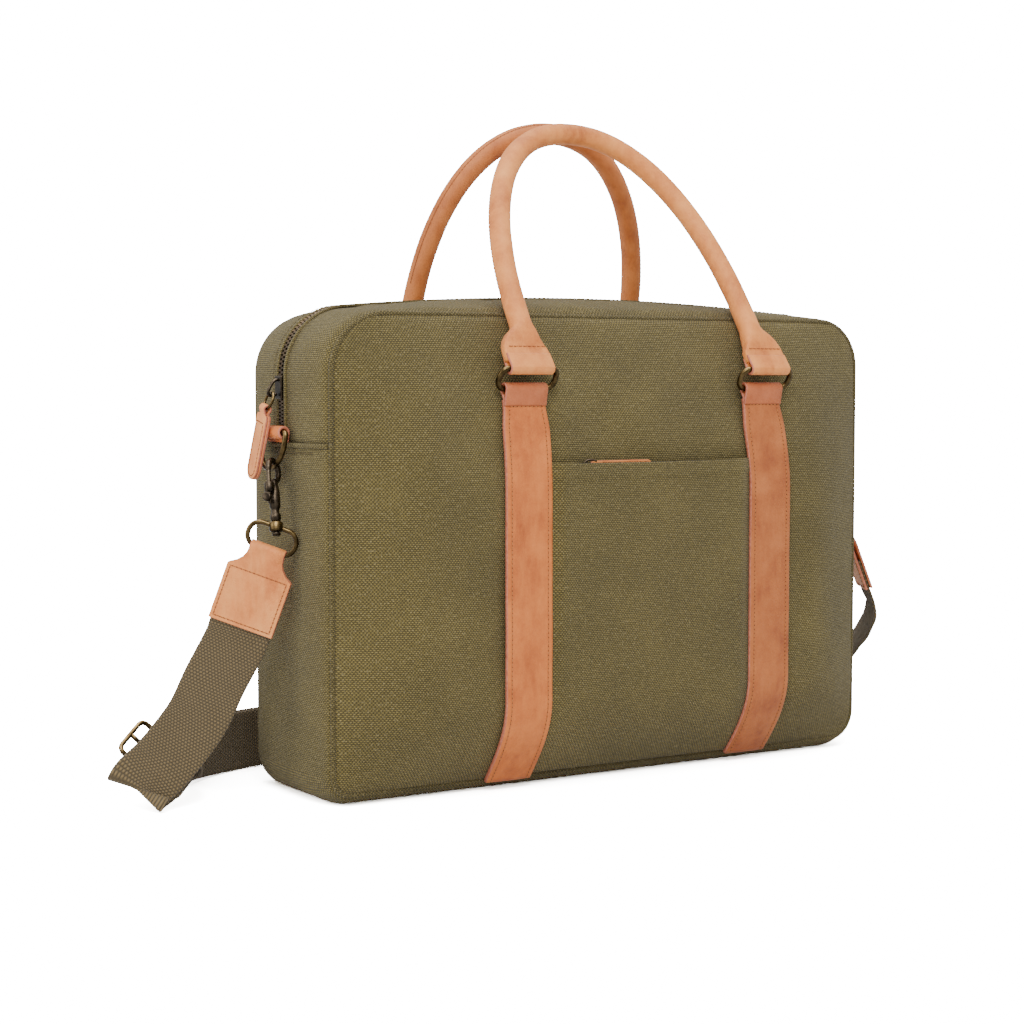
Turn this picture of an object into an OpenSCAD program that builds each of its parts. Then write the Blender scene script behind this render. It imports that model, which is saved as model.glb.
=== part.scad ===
// Two-handled zip-top canvas satchel with leather straps and a clip-on shoulder strap.
// Millimetres, +Z up, the front panel faces -Y. The origin is the middle of the footprint on the ground.

/* [Body] */
// Width between the two side seams
body_w = 400; // [390:5:420]
// Height of the panels' bottom seam above the ground
panel_bottom = 7; // [6:0.5:9]
// Height of the panels' top seam above the ground
panel_top = 293; // [285:1:300]
// Depth between the front and the back seams
depth = 100; // [96:2:104]
// How far the stuffed panels stand proud of their seams
bulge = 26; // [20:1:28]
// How far the top gusset crowns above the top seam
crown = 13; // [10:1:15]
// How far it still crowns where the top meets its corners
crown_end = 6; // [4:0.5:8]
// How far the side gussets swell past the side seams
side_swell = 8; // [6:0.5:9]
// Corner radius of the panels at the top
corner_top = 34; // [30:1:42]
// Corner radius of the panels at the bottom
corner_bottom = 20; // [16:1:24]
// Height of the side seam where the two ends of the zip stop
mouth_z = 216; // [212:1:218]
// Thickness of the padded panels
panel_t = 3; // [2.5:0.5:3]
// Thickness of the gusset cloth with its backing
gusset_t = 2.5; // [2:0.5:3]

/* [Leather straps and handles] */
// Width of the leather straps down the panels
strap_w = 33; // [32:1:36]
// Thickness of the doubled leather strap
strap_t = 3.2; // [2.5:0.1:3.4]
// Distance between the centres of the two straps
strap_pitch = 182; // [176:2:190]
// How far the pair of straps sits right of the middle
strap_shift = 9; // [0:1:10]
// Diameter of the rolled handles
handle_d = 14; // [12:0.5:15]
// Length of the front handle's loop from its hinge to its top
front_rise = 182.5; // [175:0.5:190]
// Length of the back handle's loop from its hinge to its top
back_rise = 163; // [160:1:166]
// Lean of the front handle towards the back, in degrees
front_lean = 32.2; // [31:0.1:33]
// Lean of the back handle towards the front, in degrees
back_lean = 15.5; // [12:0.5:16]

/* [Front pocket] */
// Height of the pocket's open edge
pocket_top = 202; // [190:1:204]
// Room inside the slip pocket
pocket_room = 4.6; // [4.4:0.1:5]

/* [Metal] */
// Wire diameter of the handle rings
ring_wire = 3.6; // [3:0.2:3.8]
// Wire diameter of the D-rings
dring_wire = 3.5; // [3:0.25:3.5]

/* [Shoulder strap] */
// Width of the webbing
webbing_w = 38; // [36:1:38]
// Thickness of the webbing
webbing_t = 2; // [1.6:0.2:2.2]

/* [Hidden] */

$fn = 48;
CANVAS = "#6b6340";
LEATHER = "#c98a5c";
BRASS = "#8a6f3c";
DARK_METAL = "#4a4136";
TAPE = "#22211d";
LINING = "#8d8672";
WEBBING = "#77704c";

half_w = body_w / 2;
half_d = depth / 2;
// Clearance between bodies that part at the mouth
seam_gap = 0.4;
// Height over which the bulge grows from the bottom seam, and over which it dies to the top seam
bulge_low = 53;
bulge_high = 113;
bulge_side = 60;
// Half the strip of the gusset that stays flat: on the ground, and on the sides and the crown
flat_base = 36;
flat_crown = 7;
// The hinge line of the mouth lies just outside the straps
panel_face = half_d + panel_t;
hinge_y = panel_face + bulge + strap_t + 1;

// The handle rings stand in the strap loops
ring_low_z = 248;
ring_high_z = 260.56;
ring_tilt_out = 7.3;
ring_half = 20;
ring_corner = 5;
ring_loop_r = ring_wire / 2 + 0.4;
ring_leather = 1.7;
ring_low_y = panel_face + bulge_at(strap_shift, ring_low_z) + 0.3 + ring_loop_r + ring_leather;
ring_high_y = ring_low_y + ring_tilt_out;
ring_tilt = atan(ring_tilt_out / (ring_high_z - ring_low_z));
ring_rise = norm([ring_tilt_out, ring_high_z - ring_low_z]);
loop_w = 29;

// The rolled handle: half its spread, where the round part starts, and the power of its arch
handle_spread = 88;
handle_start = 26;
handle_power = 2.2;
handle_wall = 1.6;

// The D-rings hang in rolled leather loops on the side seams
loop_r = dring_wire / 2 + 0.45;
side_leather = 1.9;
side_loop_x = half_w + side_swell + 0.3 + loop_r + side_leather;
side_loop_z = 222;
side_loop_w = 27;
dring_half = 16;
dring_drop = 22;
hook_reach = 37;
tab_len = 64;
eye_r = 6.5;
eye_wire = 3.6;

// Zip down the middle of the top gusset
teeth_half = 3.2;
teeth_gap = 0.15;
slider_z = 249;
slider_len = 14;

// --- shapes shared by the parts ---------------------------------------------------------------

function lerp(a, b, t) = a + (b - a) * t;
function unit(v) = v / norm(v);
function ease(d, reach) = sin(90 * min(1, max(0, d) / reach));

// Half the width of a panel at a height, with its rounded corners
function half_width(z) =
    z < panel_bottom + corner_bottom
        ? half_w - corner_bottom + sqrt(max(0, pow(corner_bottom, 2) - pow(panel_bottom + corner_bottom - z, 2)))
    : z > panel_top - corner_top
        ? half_w - corner_top + sqrt(max(0, pow(corner_top, 2) - pow(z - panel_top + corner_top, 2)))
    : half_w;

// How far a panel stands proud of its seam at a place
function bulge_at(x, z) =
    bulge * ease(half_width(z) - abs(x), bulge_side)
          * ease(z - panel_bottom, bulge_low)
          * ease(pow(max(0, (panel_top - z) / bulge_high), 0.8), 1);

// Faces of a stack of rings: sides between neighbours, and lids on the ends unless the stack closes on itself.
// A ring lists one side of its outline and then the other side backwards, so a lid is a row of quarters.
function side_faces(m, n, loops) =
    [for (i = [0 : m - (loops ? 1 : 2)], k = [0 : n - 1], half = [0, 1])
        let (a = i * n + k, b = i * n + (k + 1) % n, j = ((i + 1) % m) * n, c = j + k, d = j + (k + 1) % n)
        half == 0 ? [a, b, c] : [b, d, c]];
function lid_faces(start, n, back) =
    [for (k = [0 : n / 2 - 2], half = [0, 1])
        let (a = start + k, b = start + k + 1, c = start + n - 2 - k, d = start + n - 1 - k,
             f = half == 0 ? [a, b, c] : [a, c, d])
        back ? [f[2], f[1], f[0]] : f];
function total(v, i = 0) = i == len(v) ? [0, 0, 0] : v[i] + total(v, i + 1);
function ring_normal(r) =
    total([for (k = [1 : len(r) - 2]) cross(r[k] - r[0], r[k + 1] - r[0])]);

module skin(rings, loops = false) {
    m = len(rings);
    n = len(rings[0]);
    lids = loops ? [] : concat(lid_faces(0, n, true), lid_faces((m - 1) * n, n, false));
    faces = concat(side_faces(m, n, loops), lids);
    turned = ring_normal(rings[0]) * (rings[1][0] - rings[0][0]) > 0;
    polyhedron(points = [for (r = rings) each r],
               faces = turned ? [for (f = faces) [f[2], f[1], f[0]]] : faces);
}

// A smooth curve through hand-chosen points
function spline_at(p, i, t) =
    let (n = len(p) - 1, a = p[max(0, i - 1)], b = p[i], c = p[min(n, i + 1)], d = p[min(n, i + 2)])
    0.5 * (2 * b + (c - a) * t + (2 * a - 5 * b + 4 * c - d) * t * t + (3 * b - a - 3 * c + d) * t * t * t);
function spline(p, steps) =
    concat([for (i = [0 : len(p) - 2], s = [0 : steps - 1]) spline_at(p, i, s / steps)], [p[len(p) - 1]]);

// A rounded bar's outline: straight bars and quarter turns of wire
module wire_frame(half_x, height, corner, wire) {
    for (z = [0, height])
        translate([-half_x + corner, 0, z]) rotate([0, 90, 0])
            cylinder(d = wire, h = 2 * (half_x - corner));
    for (x = [-half_x, half_x])
        translate([x, 0, corner]) cylinder(d = wire, h = height - 2 * corner);
    for (sx = [-1, 1], top = [0, 1])
        translate([sx * (half_x - corner), 0, top ? height - corner : corner])
            rotate([90, 0, 0]) rotate([0, 0, top ? (sx > 0 ? 0 : 90) : (sx > 0 ? 270 : 180)])
                rotate_extrude(angle = 90) translate([corner, 0]) circle(d = wire);
}

// A leather tube along X
module leather_tube(width, r_in, wall) {
    rotate([0, 90, 0]) difference() {
        cylinder(r = r_in + wall, h = width, center = true);
        cylinder(r = r_in, h = width + 2, center = true);
    }
}

module rounded_outline(w, z_low, z_high, r_low, r_high) {
    for (s = [-1, 1]) {
        translate([s * (w / 2 - r_low), z_low + r_low]) circle(r_low);
        translate([s * (w / 2 - r_high), z_high - r_high]) circle(r_high);
    }
    translate([-w / 2, z_low + r_low]) square([w, z_high - r_high - z_low - r_low]);
    translate([-w / 2 + r_low, z_low]) square([w - 2 * r_low, r_low]);
    translate([-w / 2 + r_high, z_high - r_high]) square([w - 2 * r_high, r_high]);
}

// An upright slab with a rounded outline, between two depths
module slab(w, z_low, z_high, r_low, r_high, y_low, y_high) {
    translate([0, y_high, 0]) rotate([90, 0, 0])
        linear_extrude(y_high - y_low) rounded_outline(w, z_low, z_high, r_low, r_high);
}

// --- the gusset that runs round between the panels ---------------------------------------------

// A place on the seam outline: x, z and the outward normal's x, z
function straight(a, b, nx, nz, n) = [for (i = [0 : n]) [lerp(a[0], b[0], i / n), lerp(a[1], b[1], i / n), nx, nz]];
function corner(cx, cz, r, a0, a1, n) =
    [for (i = [1 : n - 1]) let (a = lerp(a0, a1, i / n)) [cx + r * cos(a), cz + r * sin(a), cos(a), sin(a)]];

low_corner_z = panel_bottom + corner_bottom;
high_corner_z = panel_top - corner_top;
lower_run = concat(
    straight([-half_w, mouth_z - seam_gap / 2], [-half_w, low_corner_z], -1, 0, 5),
    corner(-half_w + corner_bottom, low_corner_z, corner_bottom, 180, 270, 7),
    straight([-half_w + corner_bottom, panel_bottom], [half_w - corner_bottom, panel_bottom], 0, -1, 8),
    corner(half_w - corner_bottom, low_corner_z, corner_bottom, 270, 360, 7),
    straight([half_w, low_corner_z], [half_w, mouth_z - seam_gap / 2], 1, 0, 5));
upper_run = concat(
    straight([-half_w, mouth_z + seam_gap / 2], [-half_w, high_corner_z], -1, 0, 2),
    corner(-half_w + corner_top, high_corner_z, corner_top, 180, 90, 8),
    straight([-half_w + corner_top, panel_top], [half_w - corner_top, panel_top], 0, 1, 8),
    corner(half_w - corner_top, high_corner_z, corner_top, 90, 0, 8),
    straight([half_w, high_corner_z], [half_w, mouth_z + seam_gap / 2], 1, 0, 2));

// How far the gusset swells beyond the seams, and how that falls to its edges
function crown_at(x) = lerp(crown, crown_end, min(1, pow(x / (half_w - corner_top), 2)));
function swell(p) = side_swell * p[2] * p[2] + (p[3] < 0 ? panel_bottom : crown_at(p[0])) * p[3] * p[3];
function swell_share(p, y) =
    let (flat = p[3] < 0 ? lerp(flat_crown, flat_base, p[3] * p[3]) : flat_crown)
    abs(y) <= flat ? 1 : sqrt(max(0, 1 - pow((abs(y) - flat) / (half_d - flat), 2)));
function rim_point(p, y, out) = [p[0] + p[2] * out, y, p[1] + p[3] * out];

GUSSET_STEPS = [1, 0.98, 0.92, 0.8, 0.6, 0.35];
full_steps = concat([for (s = GUSSET_STEPS) -s * half_d], [0],
                    [for (i = [len(GUSSET_STEPS) - 1 : -1 : 0]) GUSSET_STEPS[i] * half_d]);
front_steps = concat([for (s = GUSSET_STEPS) -s * half_d], [-flat_crown]);

module gusset_shell(run, steps) {
    last = len(steps) - 1;
    skin([for (p = run) concat(
        [for (y = steps) rim_point(p, y, swell(p) * swell_share(p, y))],
        [for (i = [last : -1 : 0]) rim_point(p, steps[i], swell(p) * swell_share(p, steps[i]) - gusset_t)])]);
}

// A narrow strip that follows the crown of the gusset
module rim_strip(run, y_a, y_b, out_a, out_b) {
    skin([for (p = run) [rim_point(p, y_a, swell(p) + out_b), rim_point(p, y_b, swell(p) + out_b),
                         rim_point(p, y_b, swell(p) + out_a), rim_point(p, y_a, swell(p) + out_a)]]);
}

module lower_gusset() { color(CANVAS) gusset_shell(lower_run, full_steps); }
module top_gusset() { color(CANVAS) gusset_shell(upper_run, front_steps); }
module zip_tape() { color(TAPE) rim_strip(upper_run, -flat_crown - 5, -teeth_half - 0.1,
                                        -gusset_t - 1.3, -gusset_t - 0.35); }
module zip_teeth() { color(BRASS) rim_strip(upper_run, -teeth_half, -teeth_gap, -gusset_t - 1.3, 0); }

// --- panels and what is sewn on them -------------------------------------------------------------

function row_x(z, s) = half_width(z) * s;
module panel(rows) {
    n = 24;
    skin([for (z = rows) concat(
        [for (i = [0 : n]) let (x = row_x(z, 2 * i / n - 1)) [x, -panel_face - bulge_at(x, z), z]],
        [for (i = [n : -1 : 0]) let (x = row_x(z, 2 * i / n - 1)) [x, -half_d - bulge_at(x, z), z]])]);
}
lower_rows = concat(
    [for (i = [0 : 5]) panel_bottom + corner_bottom * (1 - cos(18 * i))],
    [for (i = [1 : 12]) lerp(low_corner_z, mouth_z - seam_gap / 2, i / 12)]);
upper_rows = concat(
    [for (i = [0 : 3]) lerp(mouth_z + seam_gap / 2, high_corner_z, i / 3)],
    [for (i = [1 : 7]) high_corner_z + corner_top * sin(90 * i / 7)]);

module panel_lower() { color(CANVAS) panel(lower_rows); }
module panel_upper() { color(CANVAS) panel(upper_rows); }

// A band of leather or cloth that lies on the panel. A row is its left edge, its right edge and its height.
module band_rows(rows, off_low, off_high) {
    middle = (rows[0][0] + rows[0][1]) / 2;
    skin([for (r = rows) let (y = -panel_face - bulge_at(middle, r[2]))
        [[r[0], y - off_high, r[2]], [r[1], y - off_high, r[2]], [r[1], y - off_low, r[2]], [r[0], y - off_low, r[2]]]]);
}
function heights_between(z_low, z_high) =
    concat([z_low], [for (z = lower_rows) if (z > z_low + 0.5 && z < z_high - 0.5) z], [z_high]);
module band(x_low, x_high, z_low, z_high, off_low, off_high) {
    band_rows([for (z = heights_between(z_low, z_high)) [x_low, x_high, z]], off_low, off_high);
}
function strap_x(side) = strap_shift + side * strap_pitch / 2;

module strap_lower(side) {
    color(LEATHER)
        band(strap_x(side) - strap_w / 2, strap_x(side) + strap_w / 2,
             panel_bottom, mouth_z - seam_gap / 2, 0.1, 0.1 + strap_t);
}

// The upper end of a strap narrows and folds round the ring
module strap_upper(side) {
    x = strap_x(side);
    wide = strap_w / 2;
    fold = loop_w / 2;
    color(LEATHER) difference() {
        union() {
            band_rows([[x - wide, x + wide, mouth_z + seam_gap / 2], [x - wide, x + wide, 225],
                       [x - wide, x + wide, 233], [x - wide, x + wide, 241], [x - fold, x + fold, 244],
                       [x - fold, x + fold, ring_low_z - 0.5]], 0.1, 0.1 + strap_t);
            translate([x, -ring_low_y, ring_low_z]) leather_tube(loop_w - 0.4, ring_loop_r, ring_leather);
        }
        translate([x, -ring_low_y, ring_low_z]) rotate([0, 90, 0])
            cylinder(r = ring_loop_r, h = loop_w + 2, center = true);
    }
}

module handle_ring(side) {
    color(BRASS) translate([strap_x(side), -ring_low_y, ring_low_z]) rotate([ring_tilt, 0, 0])
        wire_frame(ring_half, ring_rise, ring_corner, ring_wire);
}

// --- handles ---------------------------------------------------------------------------------------

function arch(rise, a) =
    let (p = 2 / handle_power)
    [handle_spread * sign(cos(a)) * pow(abs(cos(a)), p), 0, handle_start + (rise - handle_start) * pow(sin(a), p)];
ARCH_STEPS = [0, 8, 16, 25, 34, 43, 52, 61, 70, 76, 82, 87, 90, 93, 98, 104, 110, 119, 128, 137, 146, 155, 164, 172, 180];
function arch_ring(rise, i, r) =
    let (n = len(ARCH_STEPS) - 1,
         c = arch(rise, ARCH_STEPS[i]),
         along = unit(arch(rise, ARCH_STEPS[min(n, i + 1)]) - arch(rise, ARCH_STEPS[max(0, i - 1)])),
         side = [along[2], 0, -along[0]])
    [for (k = [0 : 11]) c + r * (cos(30 * k) * side + [0, sin(30 * k), 0])];

module in_handle_frame(lean) {
    translate([strap_shift, -ring_high_y, ring_high_z]) rotate([-lean, 0, 0]) children();
}

module handle(rise, lean) {
    last = len(ARCH_STEPS) - 1;
    color(LEATHER) in_handle_frame(lean) {
        skin(concat([for (i = [0 : last]) arch_ring(rise, i, handle_d / 2)],
                    [for (i = [last : -1 : 0]) arch_ring(rise, i, handle_d / 2 - handle_wall)]), loops = true);
        for (side = [-1, 1]) {
            hull() {
                translate([side * strap_pitch / 2 - loop_w / 2, -2.5, 10]) cube([loop_w, 5, 4]);
                translate([side * handle_spread, 0, handle_start]) cylinder(d = handle_d - 0.4, h = 1, $fn = 32);
            }
            translate([side * strap_pitch / 2, 0, 0]) difference() {
                union() {
                    leather_tube(loop_w, ring_loop_r, ring_leather);
                    translate([-loop_w / 2, -2.5, 2]) cube([loop_w, 5, 9]);
                }
                rotate([0, 90, 0]) cylinder(r = ring_loop_r, h = loop_w + 2, center = true);
            }
        }
    }
}

// The rope that the leather is rolled round
module handle_rope(rise, lean) {
    color(LINING) in_handle_frame(lean)
        skin([for (i = [1 : len(ARCH_STEPS) - 2]) arch_ring(rise, i, handle_d / 2 - handle_wall - 0.15)]);
}

// --- inside --------------------------------------------------------------------------------------------

module base_board() { color(LINING) slab(344, 2.8, 5.4, 1, 1, -34, 34); }
module lining_lower() {
    color(LINING) difference() {
        slab(388, 6.2, mouth_z - 2, 20, 1, -46, 46);
        slab(385.6, 7.4, mouth_z + 40, 19, 1, -44.8, 44.8);
    }
}
module laptop_sleeve() { color(LINING) slab(356, 8.4, 236, 12, 16, 22, 28); }
module lining_upper() { color(LINING) slab(350, mouth_z + 0.6, 282, 1, 34, -48.6, -47.4); }

// --- front slip pocket -----------------------------------------------------------------------------------

pocket_left = strap_x(-1) + strap_w / 2 + 1;
pocket_right = strap_x(1) - strap_w / 2 - 1;
pocket_floor = 30;
pocket_cloth = 1.2;
pocket_zip_z = pocket_top - 1;
zip_tape_t = 0.5;
pocket_teeth_t = 1;
pocket_face = panel_face + bulge_at(strap_shift, pocket_zip_z);
pocket_slider_x = -40;

module front_pocket() {
    deep = pocket_room + pocket_cloth;
    color(CANVAS) {
        band(pocket_left, pocket_right, pocket_floor, pocket_top, pocket_room, deep);
        for (x = [pocket_left, pocket_right - pocket_cloth])
            band(x, x + pocket_cloth, pocket_floor, pocket_top, 0.1, pocket_room);
        band(pocket_left, pocket_right, pocket_floor - pocket_cloth, pocket_floor, 0.1, deep);
    }
}
module pocket_zip_tape() {
    color(TAPE) band(pocket_left + 2, pocket_right - 2, pocket_zip_z - 6, pocket_zip_z + 1.6, 0.1, zip_tape_t);
}
module pocket_zip_teeth() {
    color(BRASS) band(pocket_left + 4, pocket_right - 4, pocket_zip_z - 1.2, pocket_zip_z + 1.2,
                      zip_tape_t + 0.1, zip_tape_t + pocket_teeth_t);
}
pocket_slider_y = -pocket_face - zip_tape_t - pocket_teeth_t - 0.3;
module pocket_slider() {
    color(DARK_METAL) {
        translate([pocket_slider_x - 5, pocket_slider_y - 0.7, pocket_zip_z - 3]) cube([10, 0.7, 6]);
        translate([pocket_slider_x + 4.5, pocket_slider_y, pocket_zip_z]) rotate([90, 0, 0])
            cylinder(d = 2.4, h = 2.3);
    }
}
module pocket_pull() {
    color(LEATHER) translate([pocket_slider_x + 4.5, pocket_slider_y - 1, pocket_zip_z]) rotate([90, 0, 0])
        difference() {
            union() {
                cylinder(d = 7, h = 1.2);
                translate([0, -3, 0]) cube([40, 6, 1.2]);
                translate([40, 0, 0]) cylinder(d = 6, h = 1.2);
            }
            translate([0, 0, -1]) cylinder(d = 2.6, h = 4);
        }
}

// --- main zip slider, its ring and its pull, on the left side ----------------------------------------------

zip_face_x = -half_w - side_swell;
slider_face = 0.5;
slider_t = 1.6;
crown_loop = [zip_face_x - 6.2, 0, slider_z - 3];
zip_ring_r = 5.2;
zip_ring_wire = 1.8;
zip_ring_lean = 20;
// The pull hangs a little outwards and a little to the back, over the side loop
pull_back_lean = 12;
pull_in_lean = 13;
pull_len = 44;
pull_w = 15.5;
pull_t = 3.5;
pull_neck = 5;

module zip_slider() {
    color(DARK_METAL) {
        translate([zip_face_x - slider_face - slider_t, -4.5, slider_z - slider_len / 2])
            cube([slider_t, 9, slider_len]);
        translate([crown_loop[0] + 1, -1.5, slider_z - 1.5]) cube([4.6, 3, 3]);
        translate(crown_loop) rotate([90, 0, 0]) difference() {
            cylinder(r = 3, h = 3, center = true);
            cylinder(r = 1.3, h = 5, center = true);
        }
    }
}
module in_zip_ring() {
    translate(crown_loop) rotate([0, zip_ring_lean, 0]) translate([0, 0, -zip_ring_r]) children();
}
module zip_ring() {
    color(BRASS) in_zip_ring() rotate([0, 90, 0])
        rotate_extrude() translate([zip_ring_r, 0]) circle(d = zip_ring_wire);
}
module zip_pull() {
    end = pull_len - pull_w / 2;
    color(LEATHER) in_zip_ring()
        rotate([pull_back_lean, 0, 0]) translate([0, 0, -zip_ring_r]) rotate([0, -pull_in_lean, 0]) difference() {
            union() {
                rotate([90, 0, 0]) cylinder(r = 2.7, h = pull_neck, center = true);
                translate([-pull_t / 2, -pull_neck / 2, -6]) cube([pull_t, pull_neck, 6]);
                translate([-pull_t / 2, -pull_w / 2, -end]) cube([pull_t, pull_w, end - 4.5]);
                translate([0, 0, -end]) rotate([0, 90, 0]) cylinder(d = pull_w, h = pull_t, center = true);
            }
            rotate([90, 0, 0]) cylinder(r = 1.9, h = pull_w, center = true);
        }
}

// --- side loops, D-rings, hooks and strap tabs ---------------------------------------------------------------

// side -1 is the left. The left strap end hangs down, the right one is pushed outwards by its webbing.
function pick(side, list) = side < 0 ? list[0] : list[1];
RING_LEAN = [10, 16];
HOOK_LEAN = [6, 16];
HOOK_TURN = [38, -38];
TAB_TURN = [-32, 58];
TAB_TILT = [[0, 20, 0], [-20, 0, 0]];
// Each hook hangs a little way round its D-ring towards the front, and leans forwards with it
HOOK_ROUND = [20, 0];
HOOK_FORWARD = [18, 0];
function leaning(side, angle, forward) =
    [side * sin(angle) * cos(forward), -sin(forward), -cos(angle) * cos(forward)];
function dring_foot(side) =
    let (lean = pick(side, RING_LEAN), round = pick(side, HOOK_ROUND),
         drop = dring_drop - dring_half + dring_half * cos(round))
    [side * (side_loop_x + drop * sin(lean)), -dring_half * sin(round), side_loop_z - drop * cos(lean)];
function swivel_at(side) =
    dring_foot(side) + hook_reach * leaning(side, pick(side, HOOK_LEAN), pick(side, HOOK_FORWARD));

module at_hook(side) {
    translate(dring_foot(side)) rotate([-pick(side, HOOK_FORWARD), -side * pick(side, HOOK_LEAN), 0])
        rotate([0, 0, pick(side, HOOK_TURN)]) children();
}
module at_swivel(side) {
    translate(swivel_at(side)) rotate([0, 0, pick(side, TAB_TURN)]) rotate(pick(side, TAB_TILT)) children();
}

module side_loop(side) {
    color(LEATHER) difference() {
        union() {
            translate([side * side_loop_x, 0, side_loop_z]) rotate([0, 0, 90])
                leather_tube(side_loop_w, loop_r, side_leather);
            translate([side > 0 ? half_w + side_swell + 0.2 : -half_w - side_swell - 2.6,
                       -side_loop_w / 2, mouth_z + 0.6]) cube([2.4, side_loop_w, side_loop_z - mouth_z - 2]);
        }
        translate([side * side_loop_x, 0, side_loop_z]) rotate([90, 0, 0])
            cylinder(r = loop_r, h = side_loop_w + 2, center = true);
    }
}

module d_ring(side) {
    bow = dring_half;
    color(BRASS) translate([side * side_loop_x, 0, side_loop_z])
        rotate([0, -side * pick(side, RING_LEAN), 0]) rotate([0, 0, 90]) {
            rotate([0, 90, 0]) cylinder(d = dring_wire, h = 2 * bow, center = true);
            for (x = [-bow, bow]) {
                translate([x, 0, 0]) sphere(d = dring_wire);
                translate([x, 0, bow - dring_drop]) cylinder(d = dring_wire, h = dring_drop - bow);
            }
            translate([0, 0, bow - dring_drop]) rotate([90, 0, 0]) rotate([0, 0, 180])
                rotate_extrude(angle = 180) translate([bow, 0]) circle(d = dring_wire);
        }
}

// Snap hook: an open eye, a shank with a sleeve for the sliding bolt, and a pin that turns in the swivel ring
eye_z = -eye_r + eye_wire / 2 + dring_wire / 2 + 0.5;
sleeve_top = -11;
sleeve_foot = -17;
bolt_r = 1.3;
pin_r = 1.6;

module hook(side) {
    color(DARK_METAL) at_hook(side) {
        translate([0, 0, eye_z]) rotate([90, 0, 0]) rotate([0, 0, -68])
            rotate_extrude(angle = 248) translate([eye_r, 0]) circle(d = eye_wire);
        translate([-1, -2.5, sleeve_foot]) cube([5.5, 5, eye_z - eye_r - sleeve_foot + 1]);
        difference() {
            union() {
                translate([-eye_r, 0, sleeve_foot]) cylinder(r = 3, h = sleeve_top - sleeve_foot);
                translate([-eye_r, -2, sleeve_foot]) cube([eye_r, 4, sleeve_top - sleeve_foot]);
            }
            translate([-eye_r, 0, sleeve_foot - 1]) cylinder(r = bolt_r + 0.08, h = sleeve_top - sleeve_foot + 2);
        }
        translate([0, 0, 7 - hook_reach]) cylinder(r = 3.2, h = hook_reach - 7 + sleeve_foot + 1);
        translate([0, 0, -hook_reach - 4.2]) cylinder(r = pin_r, h = 12);
        translate([0, 0, -hook_reach - 5.4]) cylinder(r = 2.6, h = 1.6);
    }
}

// The bolt closes the eye; its thumb disc pulls it down
module bolt(side) {
    color(BRASS) at_hook(side) {
        translate([-eye_r, 0, sleeve_foot - 7]) cylinder(r = bolt_r, h = eye_z - 0.3 - sleeve_foot + 7);
        translate([-eye_r - 5, 0, sleeve_foot - 3.6]) rotate([0, 90, 0]) cylinder(r = 2.8, h = 4.5);
    }
}

// The wide ring has a bored boss for the hook's pin; the leather tab folds round its lower bar
swivel_half = 14.5;
swivel_drop = 15;
module swivel_ring(side) {
    color(BRASS) {
        translate(swivel_at(side)) rotate([-pick(side, HOOK_FORWARD), -side * pick(side, HOOK_LEAN), 0]) difference() {
            translate([0, 0, -3]) cylinder(r = 4.2, h = 6);
            translate([0, 0, -5]) cylinder(r = pin_r + 0.08, h = 10);
            translate([0, 0, -7]) cylinder(r = 3, h = 4.4);
        }
        at_swivel(side) difference() {
            translate([0, 0, -swivel_drop]) wire_frame(swivel_half, swivel_drop, 4.5, 3);
            cylinder(r = 3.4, h = 8, center = true);
        }
    }
}

module strap_tab(side) {
    color(LEATHER) at_swivel(side) difference() {
        union() {
            translate([0, 0, -swivel_drop]) leather_tube(22, 1.9, 1.7);
            hull() {
                translate([-11, -2.6, -swivel_drop - 5]) cube([22, 5.2, 3]);
                translate([-20, -2.6, -swivel_drop - 13]) cube([40, 5.2, 1]);
            }
            translate([-20, -2.6, -tab_len]) cube([40, 5.2, tab_len - swivel_drop - 12]);
        }
        translate([0, 0, -swivel_drop]) rotate([0, 90, 0]) cylinder(r = 1.9, h = 44, center = true);
        translate([-webbing_w / 2 - 0.4, -webbing_t / 2 - 0.2, -tab_len - 1])
            cube([webbing_w + 0.8, webbing_t + 0.4, 36]);
    }
}

// --- webbing ---------------------------------------------------------------------------------------------------

// Each row is a place on the webbing's middle line, then the direction of its width
LONG_ROUTE = [
    [-232.2, -9.1, 125.9, -0.797, 0.498, 0.342], [-237.7, -5.7, 108, -0.797, 0.498, 0.342],
    [-241.2, -3.5, 96.8, -0.797, 0.498, 0.342], [-253.7, -2, 74.6, -0.77, 0.51, 0.38],
    [-263.2, -0.1, 54.8, -0.72, 0.48, 0.50], [-273.6, 2, 40.3, -0.67, 0.43, 0.60],
    [-286.4, 2.2, 27, -0.63, 0.38, 0.68], [-298, 2, 18, -0.61, 0.36, 0.71],
    [-301.2, 1.3, 14.2, -0.62, 0.35, 0.70], [-296.6, 5.2, 16.1, -0.64, 0.32, 0.70],
    [-286.1, 9.7, 20.6, -0.656, 0.30, 0.692], [-278.7, 13.9, 25.8, -0.656, 0.30, 0.692],
    [-267.9, 20.6, 34.6, -0.656, 0.30, 0.692], [-260, 28, 33.6, -0.50, 0.25, 0.83],
    [-250, 44, 27, -0.30, 0.15, 0.94], [-240, 64, 21.5, 0, 0, 1],
    [-208, 86, 19.5, 0, 0, 1], [-176, 97, 19.5, 0, 0, 1], [-130, 104, 19.5, 0, 0, 1],
    [-80, 107, 20, 0, 0, 1], [-30, 108, 22, 0, 0, 1], [10, 108, 23, 0, 0, 1], [36, 108, 23, 0, 0, 1]];
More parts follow.
